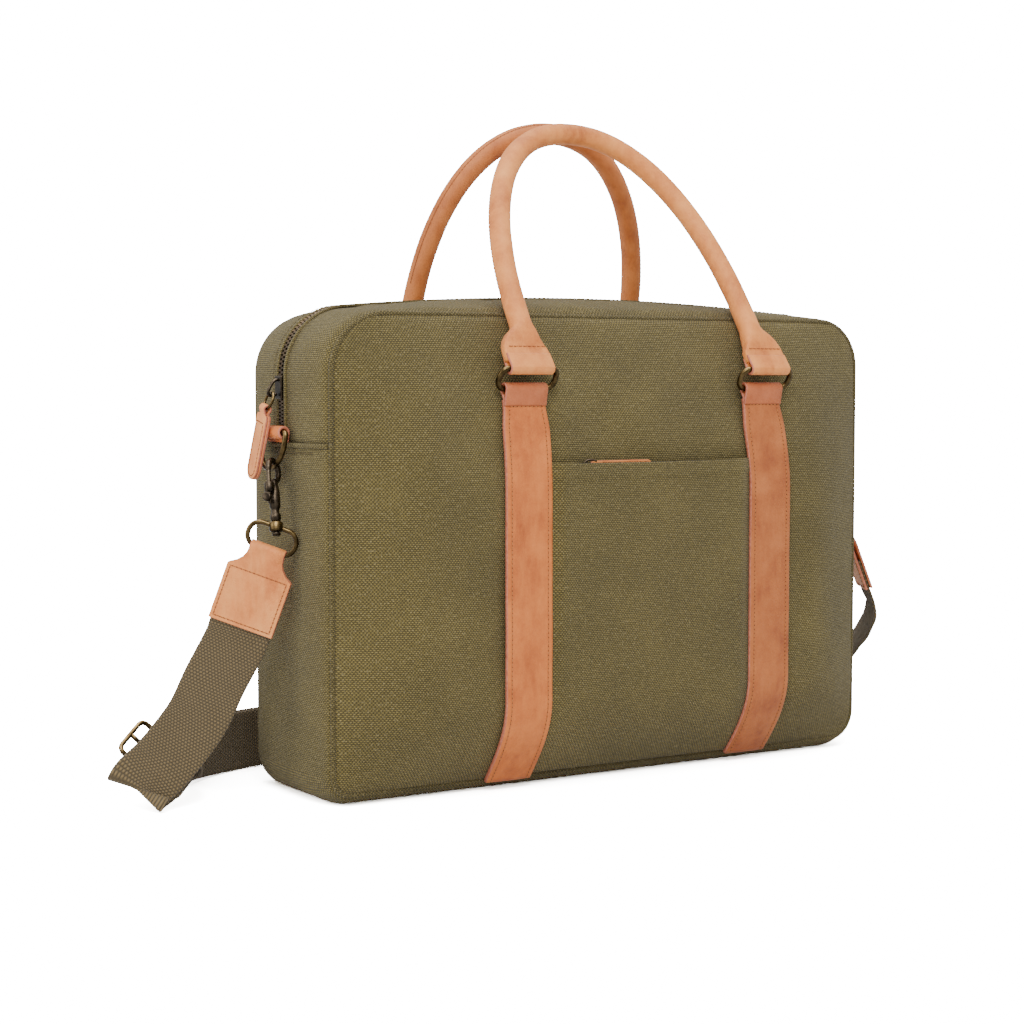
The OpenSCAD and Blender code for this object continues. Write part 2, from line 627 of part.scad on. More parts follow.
RETURN_ROUTE = [
    [36, 112.5, 23, 0, 0, 1], [10, 112.5, 23, 0, 0, 1], [-30, 112.5, 22, 0, 0, 1],
    [-80, 111.5, 20, 0, 0, 1], [-130, 108.5, 19.5, 0, 0, 1], [-178, 101.5, 19.5, 0, 0, 1],
    [-210.5, 91, 19.5, 0, 0, 1], [-244.5, 68.5, 21, 0, 0, 1], [-255, 47, 26.8, -0.30, 0.15, 0.94],
    [-262.5, 33.5, 30.5, -0.50, 0.25, 0.83], [-268.4, 25.5, 30.6, -0.656, 0.30, 0.692],
    [-279.5, 18.9, 23, -0.656, 0.30, 0.692], [-283.2, 16.8, 20.4, -0.656, 0.30, 0.692]];
SHORT_ROUTE = [
    [54.4, 110, 23, 0, 0, 1], [85, 110, 21.5, 0, 0, 1], [125, 108, 19.5, 0, 0, 1],
    [165, 101, 19.5, 0, 0.1, 1], [200, 86, 20, 0.1, 0.3, 0.95], [228, 64, 25, 0.3, 0.55, 0.78],
    [246, 40, 36, 0.45, 0.75, 0.48], [255.5, 18, 54, 0.52, 0.84, 0.15], [257, 2, 72, 0.53, 0.85, 0],
    [253, -10.5, 87, 0.53, 0.85, 0], [250.1, -13.4, 95.7, 0.53, 0.848, 0],
    [246.6, -11.2, 107, 0.53, 0.848, 0], [241.1, -7.8, 124.9, 0.53, 0.848, 0]];

function place(row) = [row[0], row[1], row[2]];
function across(row) = unit([row[3], row[4], row[5]]);
function webbing_ring(rows, i) =
    let (n = len(rows) - 1,
         along = unit(place(rows[min(n, i + 1)]) - place(rows[max(0, i - 1)])),
         w = unit(across(rows[i]) - (across(rows[i]) * along) * along),
         t = cross(along, w),
         a = webbing_w / 2, b = webbing_t / 2)
    [for (q = [[-a, -b * 0.5], [-a + 1, -b], [a - 1, -b], [a, -b * 0.5], [a, b * 0.5], [a - 1, b], [-a + 1, b],
               [-a, b * 0.5]]) place(rows[i]) + q[0] * w + q[1] * t];
module webbing(route, steps) {
    rows = spline(route, steps);
    color(WEBBING) skin([for (i = [0 : len(rows) - 1]) webbing_ring(rows, i)]);
}

// The buckle: two rails along the webbing, one on each edge, and three bars across it
tri_centre = [-281.8, 17.6, 27.2];
tri_turn = [-35.795, -31.413, 29.57];
tri_rail = 22.5;
module in_tri_glide() { translate(tri_centre) rotate(tri_turn) children(); }
module tri_glide() {
    color(BRASS) in_tri_glide() {
        for (z = [-tri_rail, tri_rail]) {
            translate([-13, 0, z]) rotate([0, 90, 0]) cylinder(d = 3, h = 26);
            for (x = [-13, 13]) translate([x, 0, z]) sphere(d = 3);
        }
        for (x = [-13, 0, 13]) translate([x, 0, -tri_rail]) cylinder(d = 3, h = 2 * tri_rail);
    }
}
module adjuster_ring() {
    color(BRASS) translate([38, 110, 23]) rotate([0, 90, 0]) wire_frame(20.8, 13, 4, 3);
}

// --- the parts --------------------------------------------------------------------------------------------------

lower_gusset();
base_board();
panel_lower();  // front_panel_lower
mirror([0, 1, 0]) panel_lower();  // back_panel_lower
lining_lower();
laptop_sleeve();
front_pocket();
pocket_zip_tape();
pocket_zip_teeth();
strap_lower(-1);  // front_strap_lower_left
strap_lower(1);  // front_strap_lower_right
mirror([0, 1, 0]) strap_lower(-1);  // back_strap_lower_left
mirror([0, 1, 0]) strap_lower(1);  // back_strap_lower_right
side_loop(-1);  // side_loop_left
side_loop(1);  // side_loop_right
panel_upper();  // front_panel_upper
top_gusset();  // top_gusset_front
zip_tape();  // zip_tape_front
zip_teeth();  // zip_teeth_front
strap_upper(-1);  // front_strap_upper_left
strap_upper(1);  // front_strap_upper_right
lining_upper();  // lining_front
mirror([0, 1, 0]) panel_upper();  // back_panel_upper
mirror([0, 1, 0]) top_gusset();  // top_gusset_back
mirror([0, 1, 0]) zip_tape();  // zip_tape_back
mirror([0, 1, 0]) zip_teeth();  // zip_teeth_back
mirror([0, 1, 0]) strap_upper(-1);  // back_strap_upper_left
mirror([0, 1, 0]) strap_upper(1);  // back_strap_upper_right
mirror([0, 1, 0]) lining_upper();  // lining_back
handle_ring(-1);  // front_ring_left
handle_ring(1);  // front_ring_right
mirror([0, 1, 0]) handle_ring(-1);  // back_ring_left
mirror([0, 1, 0]) handle_ring(1);  // back_ring_right
handle(front_rise, front_lean);  // front_handle
handle_rope(front_rise, front_lean);  // front_handle_rope
mirror([0, 1, 0]) handle(back_rise, back_lean);  // back_handle
mirror([0, 1, 0]) handle_rope(back_rise, back_lean);  // back_handle_rope
zip_slider();
zip_ring();
zip_pull();
pocket_slider();
pocket_pull();
d_ring(-1);  // d_ring_left
d_ring(1);  // d_ring_right
hook(-1);  // hook_left
hook(1);  // hook_right
bolt(-1);  // bolt_left
bolt(1);  // bolt_right
swivel_ring(-1);  // swivel_ring_left
swivel_ring(1);  // swivel_ring_right
strap_tab(-1);  // strap_tab_left
strap_tab(1);  // strap_tab_right
webbing(LONG_ROUTE, 2);  // webbing_long
webbing(RETURN_ROUTE, 2);  // webbing_return
webbing(SHORT_ROUTE, 2);  // webbing_short
tri_glide();
adjuster_ring();
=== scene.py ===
"""Looks of the canvas satchel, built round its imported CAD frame.

Design numbers are millimetres, meshes are metres.
"""

import math

import bmesh
import bpy
import numpy as np
from mathutils import Matrix, Vector, noise


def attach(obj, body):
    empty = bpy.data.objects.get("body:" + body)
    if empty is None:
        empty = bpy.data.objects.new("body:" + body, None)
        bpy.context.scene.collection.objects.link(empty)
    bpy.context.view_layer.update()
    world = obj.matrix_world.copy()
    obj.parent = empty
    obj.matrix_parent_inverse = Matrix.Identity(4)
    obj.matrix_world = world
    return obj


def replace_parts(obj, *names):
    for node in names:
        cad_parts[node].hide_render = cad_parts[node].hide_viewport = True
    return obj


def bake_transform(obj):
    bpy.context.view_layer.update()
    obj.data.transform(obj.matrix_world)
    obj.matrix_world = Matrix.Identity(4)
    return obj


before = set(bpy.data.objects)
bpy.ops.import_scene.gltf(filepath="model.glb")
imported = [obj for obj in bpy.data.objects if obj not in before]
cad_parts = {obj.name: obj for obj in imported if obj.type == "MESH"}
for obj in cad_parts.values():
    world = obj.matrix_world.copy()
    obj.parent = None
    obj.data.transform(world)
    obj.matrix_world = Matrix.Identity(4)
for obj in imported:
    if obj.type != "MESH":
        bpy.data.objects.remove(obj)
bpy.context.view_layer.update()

MM = 0.001
FRONT = Matrix.Identity(4)
BACK = Matrix.Diagonal((1, -1, 1, 1))

# ---------------------------------------------------------------- sizes shared with the CAD model

HALF_W = 200
HALF_D = 50
PANEL_FOOT = 7
PANEL_TOP = 293
PANEL_FACE = 53
BULGE = 26
CROWN = (13, 6)
SIDE_SWELL = 8
MOUTH_Z = 216
CORNER_TOP = {-1: 36, 1: 31}
CORNER_FOOT = (12, 19)
STRAP_X = (-82, 100)
STRAP_W = 33
STRAP_T = 3.2
RING_LOW = (74.96, 248)
RING_HIGH = (82.26, 260.56)
HANDLE_X = 9
HANDLE_REACH = 91
LOOP_X = 212.4
LOOP_Z = 222
SLIDER_Z = 249
CROWN_LOOP = (-214.2, 0, 246)
WEBBING_W = 38
WEBBING_T = 2


# ---------------------------------------------------------------- camera and stage

def make_camera():
    turn = math.radians(31.74)
    tilt = math.radians(3.73)
    forward = Vector((math.sin(turn) * math.cos(tilt), math.cos(turn) * math.cos(tilt), -math.sin(tilt)))
    right = Vector((math.cos(turn), -math.sin(turn), 0))
    up = right.cross(forward)
    data = bpy.data.cameras.new("camera")
    data.sensor_width = 36
    data.lens = 70.84
    data.dof.use_dof = False
    camera = bpy.data.objects.new("camera", data)
    bpy.context.scene.collection.objects.link(camera)
    place = Matrix((right, up, -forward)).transposed().to_4x4()
    place.translation = Vector((-0.7291, -1.1070, 0.253))
    camera.matrix_world = place
    bpy.context.scene.camera = camera


def area_light(name, place, target, size, power):
    data = bpy.data.lights.new(name, "AREA")
    data.shape = "RECTANGLE"
    data.size = size[0]
    data.size_y = size[1]
    data.energy = power
    lamp = bpy.data.objects.new(name, data)
    bpy.context.scene.collection.objects.link(lamp)
    lamp.location = place
    lamp.rotation_euler = (Vector(target) - Vector(place)).to_track_quat("-Z", "Y").to_euler()


def floor_material():
    """White paper, as bright as the backdrop where it is seen, but throwing back only ordinary light."""
    paint = bpy.data.materials.new("floor")
    paint.use_nodes = True
    tree = paint.node_tree
    shader = tree.nodes["Principled BSDF"]
    shader.inputs["Base Color"].default_value = (0.8, 0.8, 0.8, 1)
    shader.inputs["Roughness"].default_value = 0.9
    paper = tree.nodes.new("ShaderNodeBsdfDiffuse")
    paper.inputs["Color"].default_value = (21, 21, 21, 1)
    chosen = tree.nodes.new("ShaderNodeMixShader")
    tree.links.new(tree.nodes.new("ShaderNodeLightPath").outputs["Is Camera Ray"], chosen.inputs[0])
    tree.links.new(shader.outputs[0], chosen.inputs[1])
    tree.links.new(paper.outputs[0], chosen.inputs[2])
    tree.links.new(chosen.outputs[0], tree.nodes["Material Output"].inputs["Surface"])
    return paint


def make_stage():
    world = bpy.data.worlds.new("studio")
    world.use_nodes = True
    tree = world.node_tree
    tree.nodes["Background"].inputs["Color"].default_value = (1, 1, 1, 1)
    strength = tree.nodes.new("ShaderNodeMapRange")
    strength.inputs["To Min"].default_value = 0.85
    strength.inputs["To Max"].default_value = 20
    tree.links.new(tree.nodes.new("ShaderNodeLightPath").outputs["Is Camera Ray"], strength.inputs["Value"])
    tree.links.new(strength.outputs[0], tree.nodes["Background"].inputs["Strength"])
    bpy.context.scene.world = world
    area_light("key", (-0.9, -1.3, 1.5), (0, 0, 0.15), (1.2, 0.8), 26)
    area_light("top", (0.1, 0.1, 1.7), (0, 0, 0.1), (1.6, 1.2), 14)
    area_light("side", (-1.8, 0.2, 0.7), (0, 0, 0.15), (0.8, 0.8), 8)
    mesh = bpy.data.meshes.new("floor")
    mesh.from_pydata([(-4, -4, 0), (4, -4, 0), (4, 4, 0), (-4, 4, 0)], [], [(0, 1, 2, 3)])
    floor = bpy.data.objects.new("floor", mesh)
    bpy.context.scene.collection.objects.link(floor)
    mesh.materials.append(floor_material())


# ---------------------------------------------------------------- materials

class Shader:
    """A material with short ways to add nodes."""

    def __init__(self, name):
        self.material = bpy.data.materials.new(name)
        self.material.use_nodes = True
        self.tree = self.material.node_tree
        self.surface = self.tree.nodes["Principled BSDF"]

    def node(self, kind, inputs=(), **settings):
        made = self.tree.nodes.new("ShaderNode" + kind)
        for key, value in settings.items():
            setattr(made, key, value)
        for key, value in dict(inputs).items():
            self.put(made.inputs[key], value)
        return made

    def put(self, socket, value):
        if isinstance(value, bpy.types.NodeSocket):
            self.tree.links.new(value, socket)
        else:
            socket.default_value = value

    def math(self, operation, a, b=0.0):
        return self.node("Math", {0: a, 1: b}, operation=operation).outputs[0]

    def place(self, kind, scale=(1, 1, 1)):
        where = self.node("TexCoord").outputs[kind]
        return self.node("Mapping", {"Vector": where, "Scale": scale}).outputs[0]

    def noise(self, place, scale, detail=3.0, rough=0.55):
        inputs = {"Vector": place, "Scale": scale, "Detail": detail, "Roughness": rough}
        return self.node("TexNoise", inputs).outputs["Fac"]

    def ramp(self, value, stops):
        made = self.node("ValToRGB", {"Fac": value})
        while len(made.color_ramp.elements) < len(stops):
            made.color_ramp.elements.new(0.5)
        for element, (at, colour) in zip(made.color_ramp.elements, stops):
            element.position = at
            element.color = (*colour, 1)
        return made.outputs["Color"]

    def mix(self, factor, a, b, blend="MIX"):
        made = self.node("Mix", data_type="RGBA", blend_type=blend)
        self.put(made.inputs[0], factor)
        self.put(made.inputs[6], a if isinstance(a, bpy.types.NodeSocket) else (*a, 1))
        self.put(made.inputs[7], b if isinstance(b, bpy.types.NodeSocket) else (*b, 1))
        return made.outputs[2]

    def finish(self, colour, height, distance, roughness, strength=1.0, **extra):
        self.put(self.surface.inputs["Base Color"], colour)
        self.put(self.surface.inputs["Roughness"], roughness)
        if height is not None:
            bump = self.node("Bump", {"Height": height, "Distance": distance, "Strength": strength})
            self.put(self.surface.inputs["Normal"], bump.outputs[0])
        for key, value in extra.items():
            self.put(self.surface.inputs[key.replace("_", " ")], value)
        return self.material


def plain_weave(s, place, warp, weft):
    """Height of a plain weave whose yarns are warp and weft metres apart, over a place in metres."""
    split = s.node("SeparateXYZ", {"Vector": place})
    u = s.math("MULTIPLY", split.outputs[0], 1 / warp)
    v = s.math("MULTIPLY", split.outputs[1], 1 / weft)
    over = s.math("ABSOLUTE", s.math("SINE", s.math("MULTIPLY", u, math.pi)))
    under = s.math("ABSOLUTE", s.math("SINE", s.math("MULTIPLY", v, math.pi)))
    both = s.math("ADD", s.math("FLOOR", u), s.math("FLOOR", v))
    odd = s.math("ABSOLUTE", s.math("MODULO", both, 2.0))
    first = s.math("MULTIPLY", s.math("MULTIPLY", over, odd), s.math("ADD", under, 0.6))
    even = s.math("SUBTRACT", 1.0, odd)
    second = s.math("MULTIPLY", s.math("MULTIPLY", under, even), s.math("ADD", over, 0.6))
    return s.math("ADD", first, second), odd


def dotted_weave(s, place, across, along):
    """Height of a weave seen as rows of raised dots, each row half a dot aside from the next."""
    split = s.node("SeparateXYZ", {"Vector": place})
    v = s.math("MULTIPLY", split.outputs[1], 1 / along)
    row = s.math("ABSOLUTE", s.math("MODULO", s.math("FLOOR", v), 2.0))
    u = s.math("ADD", s.math("MULTIPLY", split.outputs[0], 1 / across), s.math("MULTIPLY", row, 0.5))
    wide = s.math("ABSOLUTE", s.math("SINE", s.math("MULTIPLY", u, math.pi)))
    tall = s.math("ABSOLUTE", s.math("SINE", s.math("MULTIPLY", v, math.pi)))
    return s.math("MULTIPLY", wide, tall)


def wobble(s, place, scale, reach):
    """A place shifted a little by noise, so that yarns don't run dead straight."""
    shift = s.node("TexNoise", {"Vector": place, "Scale": scale, "Detail": 2.0}).outputs["Color"]
    centred = s.node("VectorMath", {0: shift, 1: (0.5, 0.5, 0.5)}, operation="SUBTRACT").outputs[0]
    small = s.node("VectorMath", {0: centred, "Scale": reach}, operation="SCALE").outputs[0]
    return s.node("VectorMath", {0: place, 1: small}, operation="ADD").outputs[0]


def canvas_material(name="canvas", dark=1.0):
    """Washed canvas: rows of pale dashes over a darker ground, uneven yarns and faded patches."""
    s = Shader(name)
    place = s.place("UV")
    bent = wobble(s, place, 70, 0.0010)
    weave = dotted_weave(s, bent, 0.0019, 0.00115)
    slubs = s.noise(s.place("UV", (0.3, 1, 1)), 700, 2)
    flecks = s.noise(s.place("UV", (1, 0.5, 1)), 1100, 1)
    patches = s.noise(place, 16, 5, 0.62)
    wash = s.noise(place, 5, 3, 0.5)
    base = s.ramp(patches, [(0.28, (0.075 * dark, 0.057 * dark, 0.0125 * dark)),
                            (0.52, (0.103 * dark, 0.078 * dark, 0.0180 * dark)),
                            (0.75, (0.136 * dark, 0.104 * dark, 0.0265 * dark))])
    faded = s.mix(s.math("MULTIPLY", wash, 0.5), base, (0.113 * dark, 0.086 * dark, 0.0215 * dark))
    lit = s.math("MULTIPLY", weave, s.math("ADD", slubs, 0.4))
    yarn = s.ramp(lit, [(0.0, (0.42, 0.40, 0.34)), (0.35, (0.88, 0.87, 0.84)), (0.85, (2.5, 2.45, 2.4))])
    woven = s.mix(0.9, faded, yarn, "MULTIPLY")
    light = s.ramp(flecks, [(0.55, (0, 0, 0)), (0.70, (0.115, 0.098, 0.058))])
    colour = s.mix(0.8, woven, light, "ADD")
    height = s.math("ADD", weave, s.math("MULTIPLY", slubs, 0.8))
    return s.finish(colour, height, 0.0006, 0.92, Sheen_Weight=0.08, Sheen_Roughness=0.5)


def leather_material(name, middle):
    """Nubuck: cloudy colour round a middle tone, fine grain, pores and paler rubbed places."""
    s = Shader(name)
    place = s.place("Object")
    clouds = s.noise(place, 38, 7, 0.66)
    grain = s.noise(place, 900, 3, 0.6)
    scuffs = s.noise(s.place("Object", (1, 1, 0.25)), 110, 5, 0.7)
    pores = s.node("TexVoronoi", {"Vector": place, "Scale": 1500}).outputs["Distance"]
    deep = tuple(c * f for c, f in zip(middle, (0.66, 0.52, 0.42)))
    pale = tuple(min(1, c * f) for c, f in zip(middle, (1.28, 1.5, 1.9)))
    base = s.ramp(clouds, [(0.30, deep), (0.5, middle), (0.70, pale)])
    worn = s.mix(s.ramp(scuffs, [(0.45, (0, 0, 0)), (0.75, (0.75, 0.75, 0.75))]), base, pale)
    colour = s.mix(s.math("MULTIPLY", grain, 0.22), worn, tuple(0.6 * c for c in middle))
    height = s.math("ADD", s.math("MULTIPLY", grain, 0.8), s.math("MULTIPLY", pores, 0.5))
    rough = s.math("ADD", 0.45, s.math("MULTIPLY", scuffs, 0.3))
    return s.finish(colour, height, 0.00025, rough, Sheen_Weight=0.08, Sheen_Roughness=0.45)


def edge_material():
    s = Shader("painted_edge")
    place = s.place("Object")
    fine = s.noise(place, 500, 3)
    colour = s.ramp(fine, [(0.3, (0.42, 0.115, 0.060)), (0.7, (0.60, 0.200, 0.120))])
    return s.finish(colour, fine, 0.0003, 0.5)


def thread_material(name, colour):
    s = Shader(name)
    strands = s.noise(s.place("Object"), 2600, 2)
    tint = s.ramp(strands, [(0.3, tuple(0.6 * c for c in colour)), (0.65, colour)])
    return s.finish(tint, strands, 0.0002, 0.7)


def metal_material(name, bright, dark, rough):
    s = Shader(name)
    place = s.place("Object")
    tarnish = s.noise(place, 130, 6, 0.65)
    fine = s.noise(place, 1300, 3)
    worn = s.ramp(tarnish, [(0.38, dark), (0.62, bright)])
    # Painted light and shade: faces turned upwards are brightened and faces turned sideways or downwards are
    # darkened, as if lit from above.
    facing = s.node("SeparateXYZ", {"Vector": s.node("NewGeometry").outputs["Normal"]}).outputs[2]
    painted_light_from_above = s.ramp(facing, [(0.0, (0.30, 0.30, 0.30)), (0.35, (0.55, 0.55, 0.55)), (0.75, (1.5, 1.5, 1.5))])
    colour = s.mix(1.0, worn, painted_light_from_above, "MULTIPLY")
    roughness = s.math("ADD", rough, s.math("MULTIPLY", tarnish, 0.25))
    return s.finish(colour, fine, 0.00006, roughness, Metallic=1.0)


def tape_material():
    s = Shader("zip_tape")
    weave, _ = plain_weave(s, s.place("UV"), 0.0009, 0.0006)
    colour = s.ramp(weave, [(0.1, (0.008, 0.008, 0.007)), (1.2, (0.035, 0.033, 0.028))])
    return s.finish(colour, weave, 0.0002, 0.85)


def webbing_material():
    s = Shader("webbing")
    place = s.place("UV")
    weave = dotted_weave(s, wobble(s, place, 60, 0.0006), 0.0021, 0.0017)
    strands = s.noise(s.place("UV", (2.4, 1, 1)), 1500, 2)
    patches = s.noise(place, 40, 4)
    base = s.mix(patches, (0.105, 0.071, 0.027), (0.165, 0.116, 0.050))
    tips = s.ramp(weave, [(0.05, (0.22, 0.20, 0.17)), (0.45, (0.85, 0.84, 0.80)), (1.0, (1.9, 1.85, 1.75))])
    woven = s.mix(0.85, base, tips, "MULTIPLY")
    colour = s.mix(s.math("MULTIPLY", strands, 0.3), woven, (0.22, 0.165, 0.085))
    height = s.math("ADD", weave, s.math("MULTIPLY", strands, 0.25))
    return s.finish(colour, height, 0.0009, 0.9, Sheen_Weight=0.15)


def lining_material(name, colour):
    s = Shader(name)
    place = s.place("Object")
    fine = s.noise(s.place("Object", (1, 1, 3)), 900, 2)
    patches = s.noise(place, 30, 3)
    tint = s.mix(patches, tuple(0.75 * c for c in colour), colour)
    return s.finish(tint, fine, 0.0003, 0.9)


CANVAS = canvas_material()
BINDING = canvas_material("canvas_binding", 0.82)
LEATHER = leather_material("leather_straps", (0.64, 0.160, 0.024))
RIGHT_LEATHER = leather_material("leather_right_strap", (0.46, 0.120, 0.022))
FOLD_LEATHER = leather_material("leather_folds", (0.47, 0.115, 0.030))
HANDLE_LEATHER = leather_material("leather_front_handle", (0.80, 0.255, 0.048))
BACK_LEATHER = leather_material("leather_back_handle", (0.55, 0.155, 0.028))
TAB_LEATHER = leather_material("leather_tabs", (0.85, 0.27, 0.058))
EDGE = edge_material()
THREAD = thread_material("orange_thread", (0.56, 0.20, 0.055))
HANDLE_THREAD = thread_material("brown_thread", (0.34, 0.085, 0.018))
# Near-black for the discs between stitches: painted shade in the needle holes.
NEEDLE_HOLE_SHADE = thread_material("painted_needle_hole_shade", (0.12, 0.03, 0.010))
# Near-black for the thin tube behind the piping: painted shade in the seam.
SEAM_SHADE = thread_material("painted_seam_shade", (0.022, 0.017, 0.007))
CANVAS_THREAD = thread_material("olive_thread", (0.12, 0.085, 0.028))
BRASS = metal_material("antique_brass", (0.40, 0.27, 0.11), (0.13, 0.085, 0.035), 0.2)
DARK = metal_material("dark_bronze", (0.20, 0.15, 0.10), (0.05, 0.038, 0.028), 0.25)
TEETH = metal_material("zip_teeth", (0.34, 0.22, 0.11), (0.12, 0.075, 0.035), 0.3)
TAPE = tape_material()
WEBBING = webbing_material()
LINING = lining_material("lining", (0.25, 0.19, 0.08))
BOARD = lining_material("board", (0.06, 0.055, 0.05))


# ---------------------------------------------------------------- mesh helpers

def mesh_object(name, points, faces, materials, slots=None, uvs=None, place=FRONT, smooth=True):
    """A mesh from points in millimetres. uvs is one pair in metres for each point."""
    mesh = bpy.data.meshes.new(name)
    mesh.from_pydata([place @ (Vector(p) * MM) for p in points], [], faces)
    for material in materials:
        mesh.materials.append(material)
    if slots is not None:
        mesh.polygons.foreach_set("material_index", slots)
    if uvs is not None:
        layer = mesh.uv_layers.new(name="UVMap")
        corner = np.zeros(len(mesh.loops), int)
        mesh.loops.foreach_get("vertex_index", corner)
        layer.data.foreach_set("uv", np.array(uvs, float)[corner].ravel())
    made = bmesh.new()
    made.from_mesh(mesh)
    bmesh.ops.recalc_face_normals(made, faces=made.faces)
    made.to_mesh(mesh)
    made.free()
    mesh.polygons.foreach_set("use_smooth", [smooth] * len(mesh.polygons))
    mesh.update()
    obj = bpy.data.objects.new(name, mesh)
    bpy.context.scene.collection.objects.link(obj)
    return obj


def joined(name, parts):
    """One mesh object from several, keeping their materials."""
    bpy.ops.object.select_all(action="DESELECT")
    for part in parts:
        part.select_set(True)
    bpy.context.view_layer.objects.active = parts[0]
    bpy.ops.object.join()
    parts[0].name = name
    parts[0].data.name = name
    return parts[0]


def bevelled(obj, width, segments=2, angle=40):
    """obj with its sharp edges rounded, as a final mesh."""
    modifier = obj.modifiers.new("bevel", "BEVEL")
    modifier.width = width * MM
    modifier.segments = segments
    modifier.limit_method = "ANGLE"
    modifier.angle_limit = math.radians(angle)
    modifier.harden_normals = False
    settled = obj.evaluated_get(bpy.context.evaluated_depsgraph_get())
    obj.data = bpy.data.meshes.new_from_object(settled)
    obj.modifiers.clear()
    return obj


def grid_faces(rows, columns, wrap_rows=False, wrap_columns=False):
    faces = []
    for i in range(rows if wrap_rows else rows - 1):
        for k in range(columns if wrap_columns else columns - 1):
            j = (i + 1) % rows
            m = (k + 1) % columns
            faces.append((i * columns + k, i * columns + m, j * columns + m, j * columns + k))
    return faces


def sheet_mesh(name, outer, inner, uv, materials, place=FRONT):
    """A cloth of real thickness: an outer and an inner grid of the same size, joined round their rim."""
    rows, columns = outer.shape[:2]
    count = rows * columns
    faces = grid_faces(rows, columns)
    faces += [tuple(count + v for v in reversed(f)) for f in grid_faces(rows, columns)]
    rim = [k for k in range(columns)]
    rim += [i * columns + columns - 1 for i in range(1, rows)]
    rim += [(rows - 1) * columns + k for k in range(columns - 2, -1, -1)]
    rim += [i * columns for i in range(rows - 2, 0, -1)]
    for a, b in zip(rim, rim[1:] + rim[:1]):
        faces.append((b, a, count + a, count + b))
    points = np.concatenate([outer.reshape(-1, 3), inner.reshape(-1, 3)])
    both = np.concatenate([uv.reshape(-1, 2), uv.reshape(-1, 2)]) * MM
    return mesh_object(name, points, faces, materials, uvs=both, place=place)


def sweep(name, centres, sides, lifts, section, materials, slots=None, uv_width=None,
          place=FRONT, closed=False):
    """A closed cross-section carried along centres; sides and lifts are its two directions at each."""
    rows = len(centres)
    columns = len(section)
    points = []
    uvs = []
    run = 0.0
    for i in range(rows):
        if i:
            run += float(np.linalg.norm(centres[i] - centres[i - 1]))
        shape = section[i] if isinstance(section[0][0], (list, tuple, np.ndarray)) else section
        columns = len(shape)
        for a, b in shape:
            points.append(centres[i] + a * sides[i] + b * lifts[i])
            uvs.append((a * MM, run * MM))
    faces = grid_faces(rows, columns, wrap_rows=closed, wrap_columns=True)
    face_slots = None
    if slots is not None:
        face_slots = [slots[f % columns] for f in range(len(faces))]
    if not closed:
        faces.append(tuple(range(columns - 1, -1, -1)))
        faces.append(tuple((rows - 1) * columns + k for k in range(columns)))
        if face_slots is not None:
            face_slots += [max(slots)] * 2
    return mesh_object(name, points, faces, materials, face_slots, uvs if uv_width is None else uvs, place)


def circle(radius, sides=14):
    return [(radius * math.cos(2 * math.pi * k / sides), radius * math.sin(2 * math.pi * k / sides))
            for k in range(sides)]


def frames_along(path, closed=False):
    """Tangent and two steady cross directions at each point of a path."""
    path = np.asarray(path, float)
    count = len(path)
    tangents = np.zeros_like(path)
    for i in range(count):
        before = path[(i - 1) % count] if closed else path[max(0, i - 1)]
        after = path[(i + 1) % count] if closed else path[min(count - 1, i + 1)]
        tangents[i] = (after - before) / np.linalg.norm(after - before)
    start = np.cross(tangents[0], (0.31, 0.52, 0.79))
    side = start / np.linalg.norm(start)
    sides = []
    for t in tangents:
        side = side - side.dot(t) * t
        side = side / np.linalg.norm(side)
        sides.append(side.copy())
    sides = np.array(sides)
    return tangents, sides, np.cross(tangents, sides)


def wire(name, path, radius, material, sides=14, closed=False, place=FRONT):
    path = np.asarray(path, float)
    if closed:
        plane = np.linalg.svd(path - path.mean(0))[2][2]
        tangents = frames_along(path, True)[0]
        lifts = np.tile(plane, (len(path), 1))
        sides_along = np.cross(tangents, lifts)
    else:
        sides_along, lifts = frames_along(path)[1:]
    return sweep(name, path, sides_along, lifts, circle(radius, sides), [material],
                 place=place, closed=closed)


def rounded_rectangle(half_x, height, corner, steps=7):
    """Path of a wire frame in x and z, from z 0 to height."""
    path = []
    for cx, cz, start in ((half_x - corner, corner, -90), (half_x - corner, height - corner, 0),
                          (-half_x + corner, height - corner, 90), (-half_x + corner, corner, 180)):
        for i in range(steps + 1):
            a = math.radians(start + 90 * i / steps)
            path.append((cx + corner * math.cos(a), 0.0, cz + corner * math.sin(a)))
    dense = []
    for a, b in zip(path, path[1:] + path[:1]):
        gap = math.dist(a, b)
        pieces = max(1, int(gap / 4))
        dense += [tuple(a[c] + (b[c] - a[c]) * i / pieces for c in range(3)) for i in range(pieces)]
    return dense


def lathe(name, profile, material, place=FRONT, sides=28):
    """A turned piece about local Z from (radius, z) pairs."""
    points = []
    for radius, z in profile:
        points += [(radius * math.cos(2 * math.pi * k / sides), radius * math.sin(2 * math.pi * k / sides), z)
                   for k in range(sides)]
    faces = grid_faces(len(profile), sides, wrap_columns=True)
    faces.append(tuple(range(sides)))
    faces.append(tuple((len(profile) - 1) * sides + k for k in range(sides)))
    return bevelled(mesh_object(name, points, faces, [material], place=place), 0.15, 2, 35)


def plate(name, outline, thickness, materials, bevel=0.5, place=FRONT):
    """A flat piece cut to an outline in the XZ plane; its cut edge takes the last material."""
    count = len(outline)
    points = [(x, -thickness / 2, z) for x, z in outline] + [(x, thickness / 2, z) for x, z in outline]
    faces = [tuple(range(count)), tuple(range(2 * count - 1, count - 1, -1))]
    faces += [(k, (k + 1) % count, count + (k + 1) % count, count + k) for k in range(count)]
    slots = [0, 0] + [len(materials) - 1] * count
    piece = mesh_object(name, points, faces, materials, slots, place=place, smooth=False)
    return bevelled(piece, bevel, 3, 50)


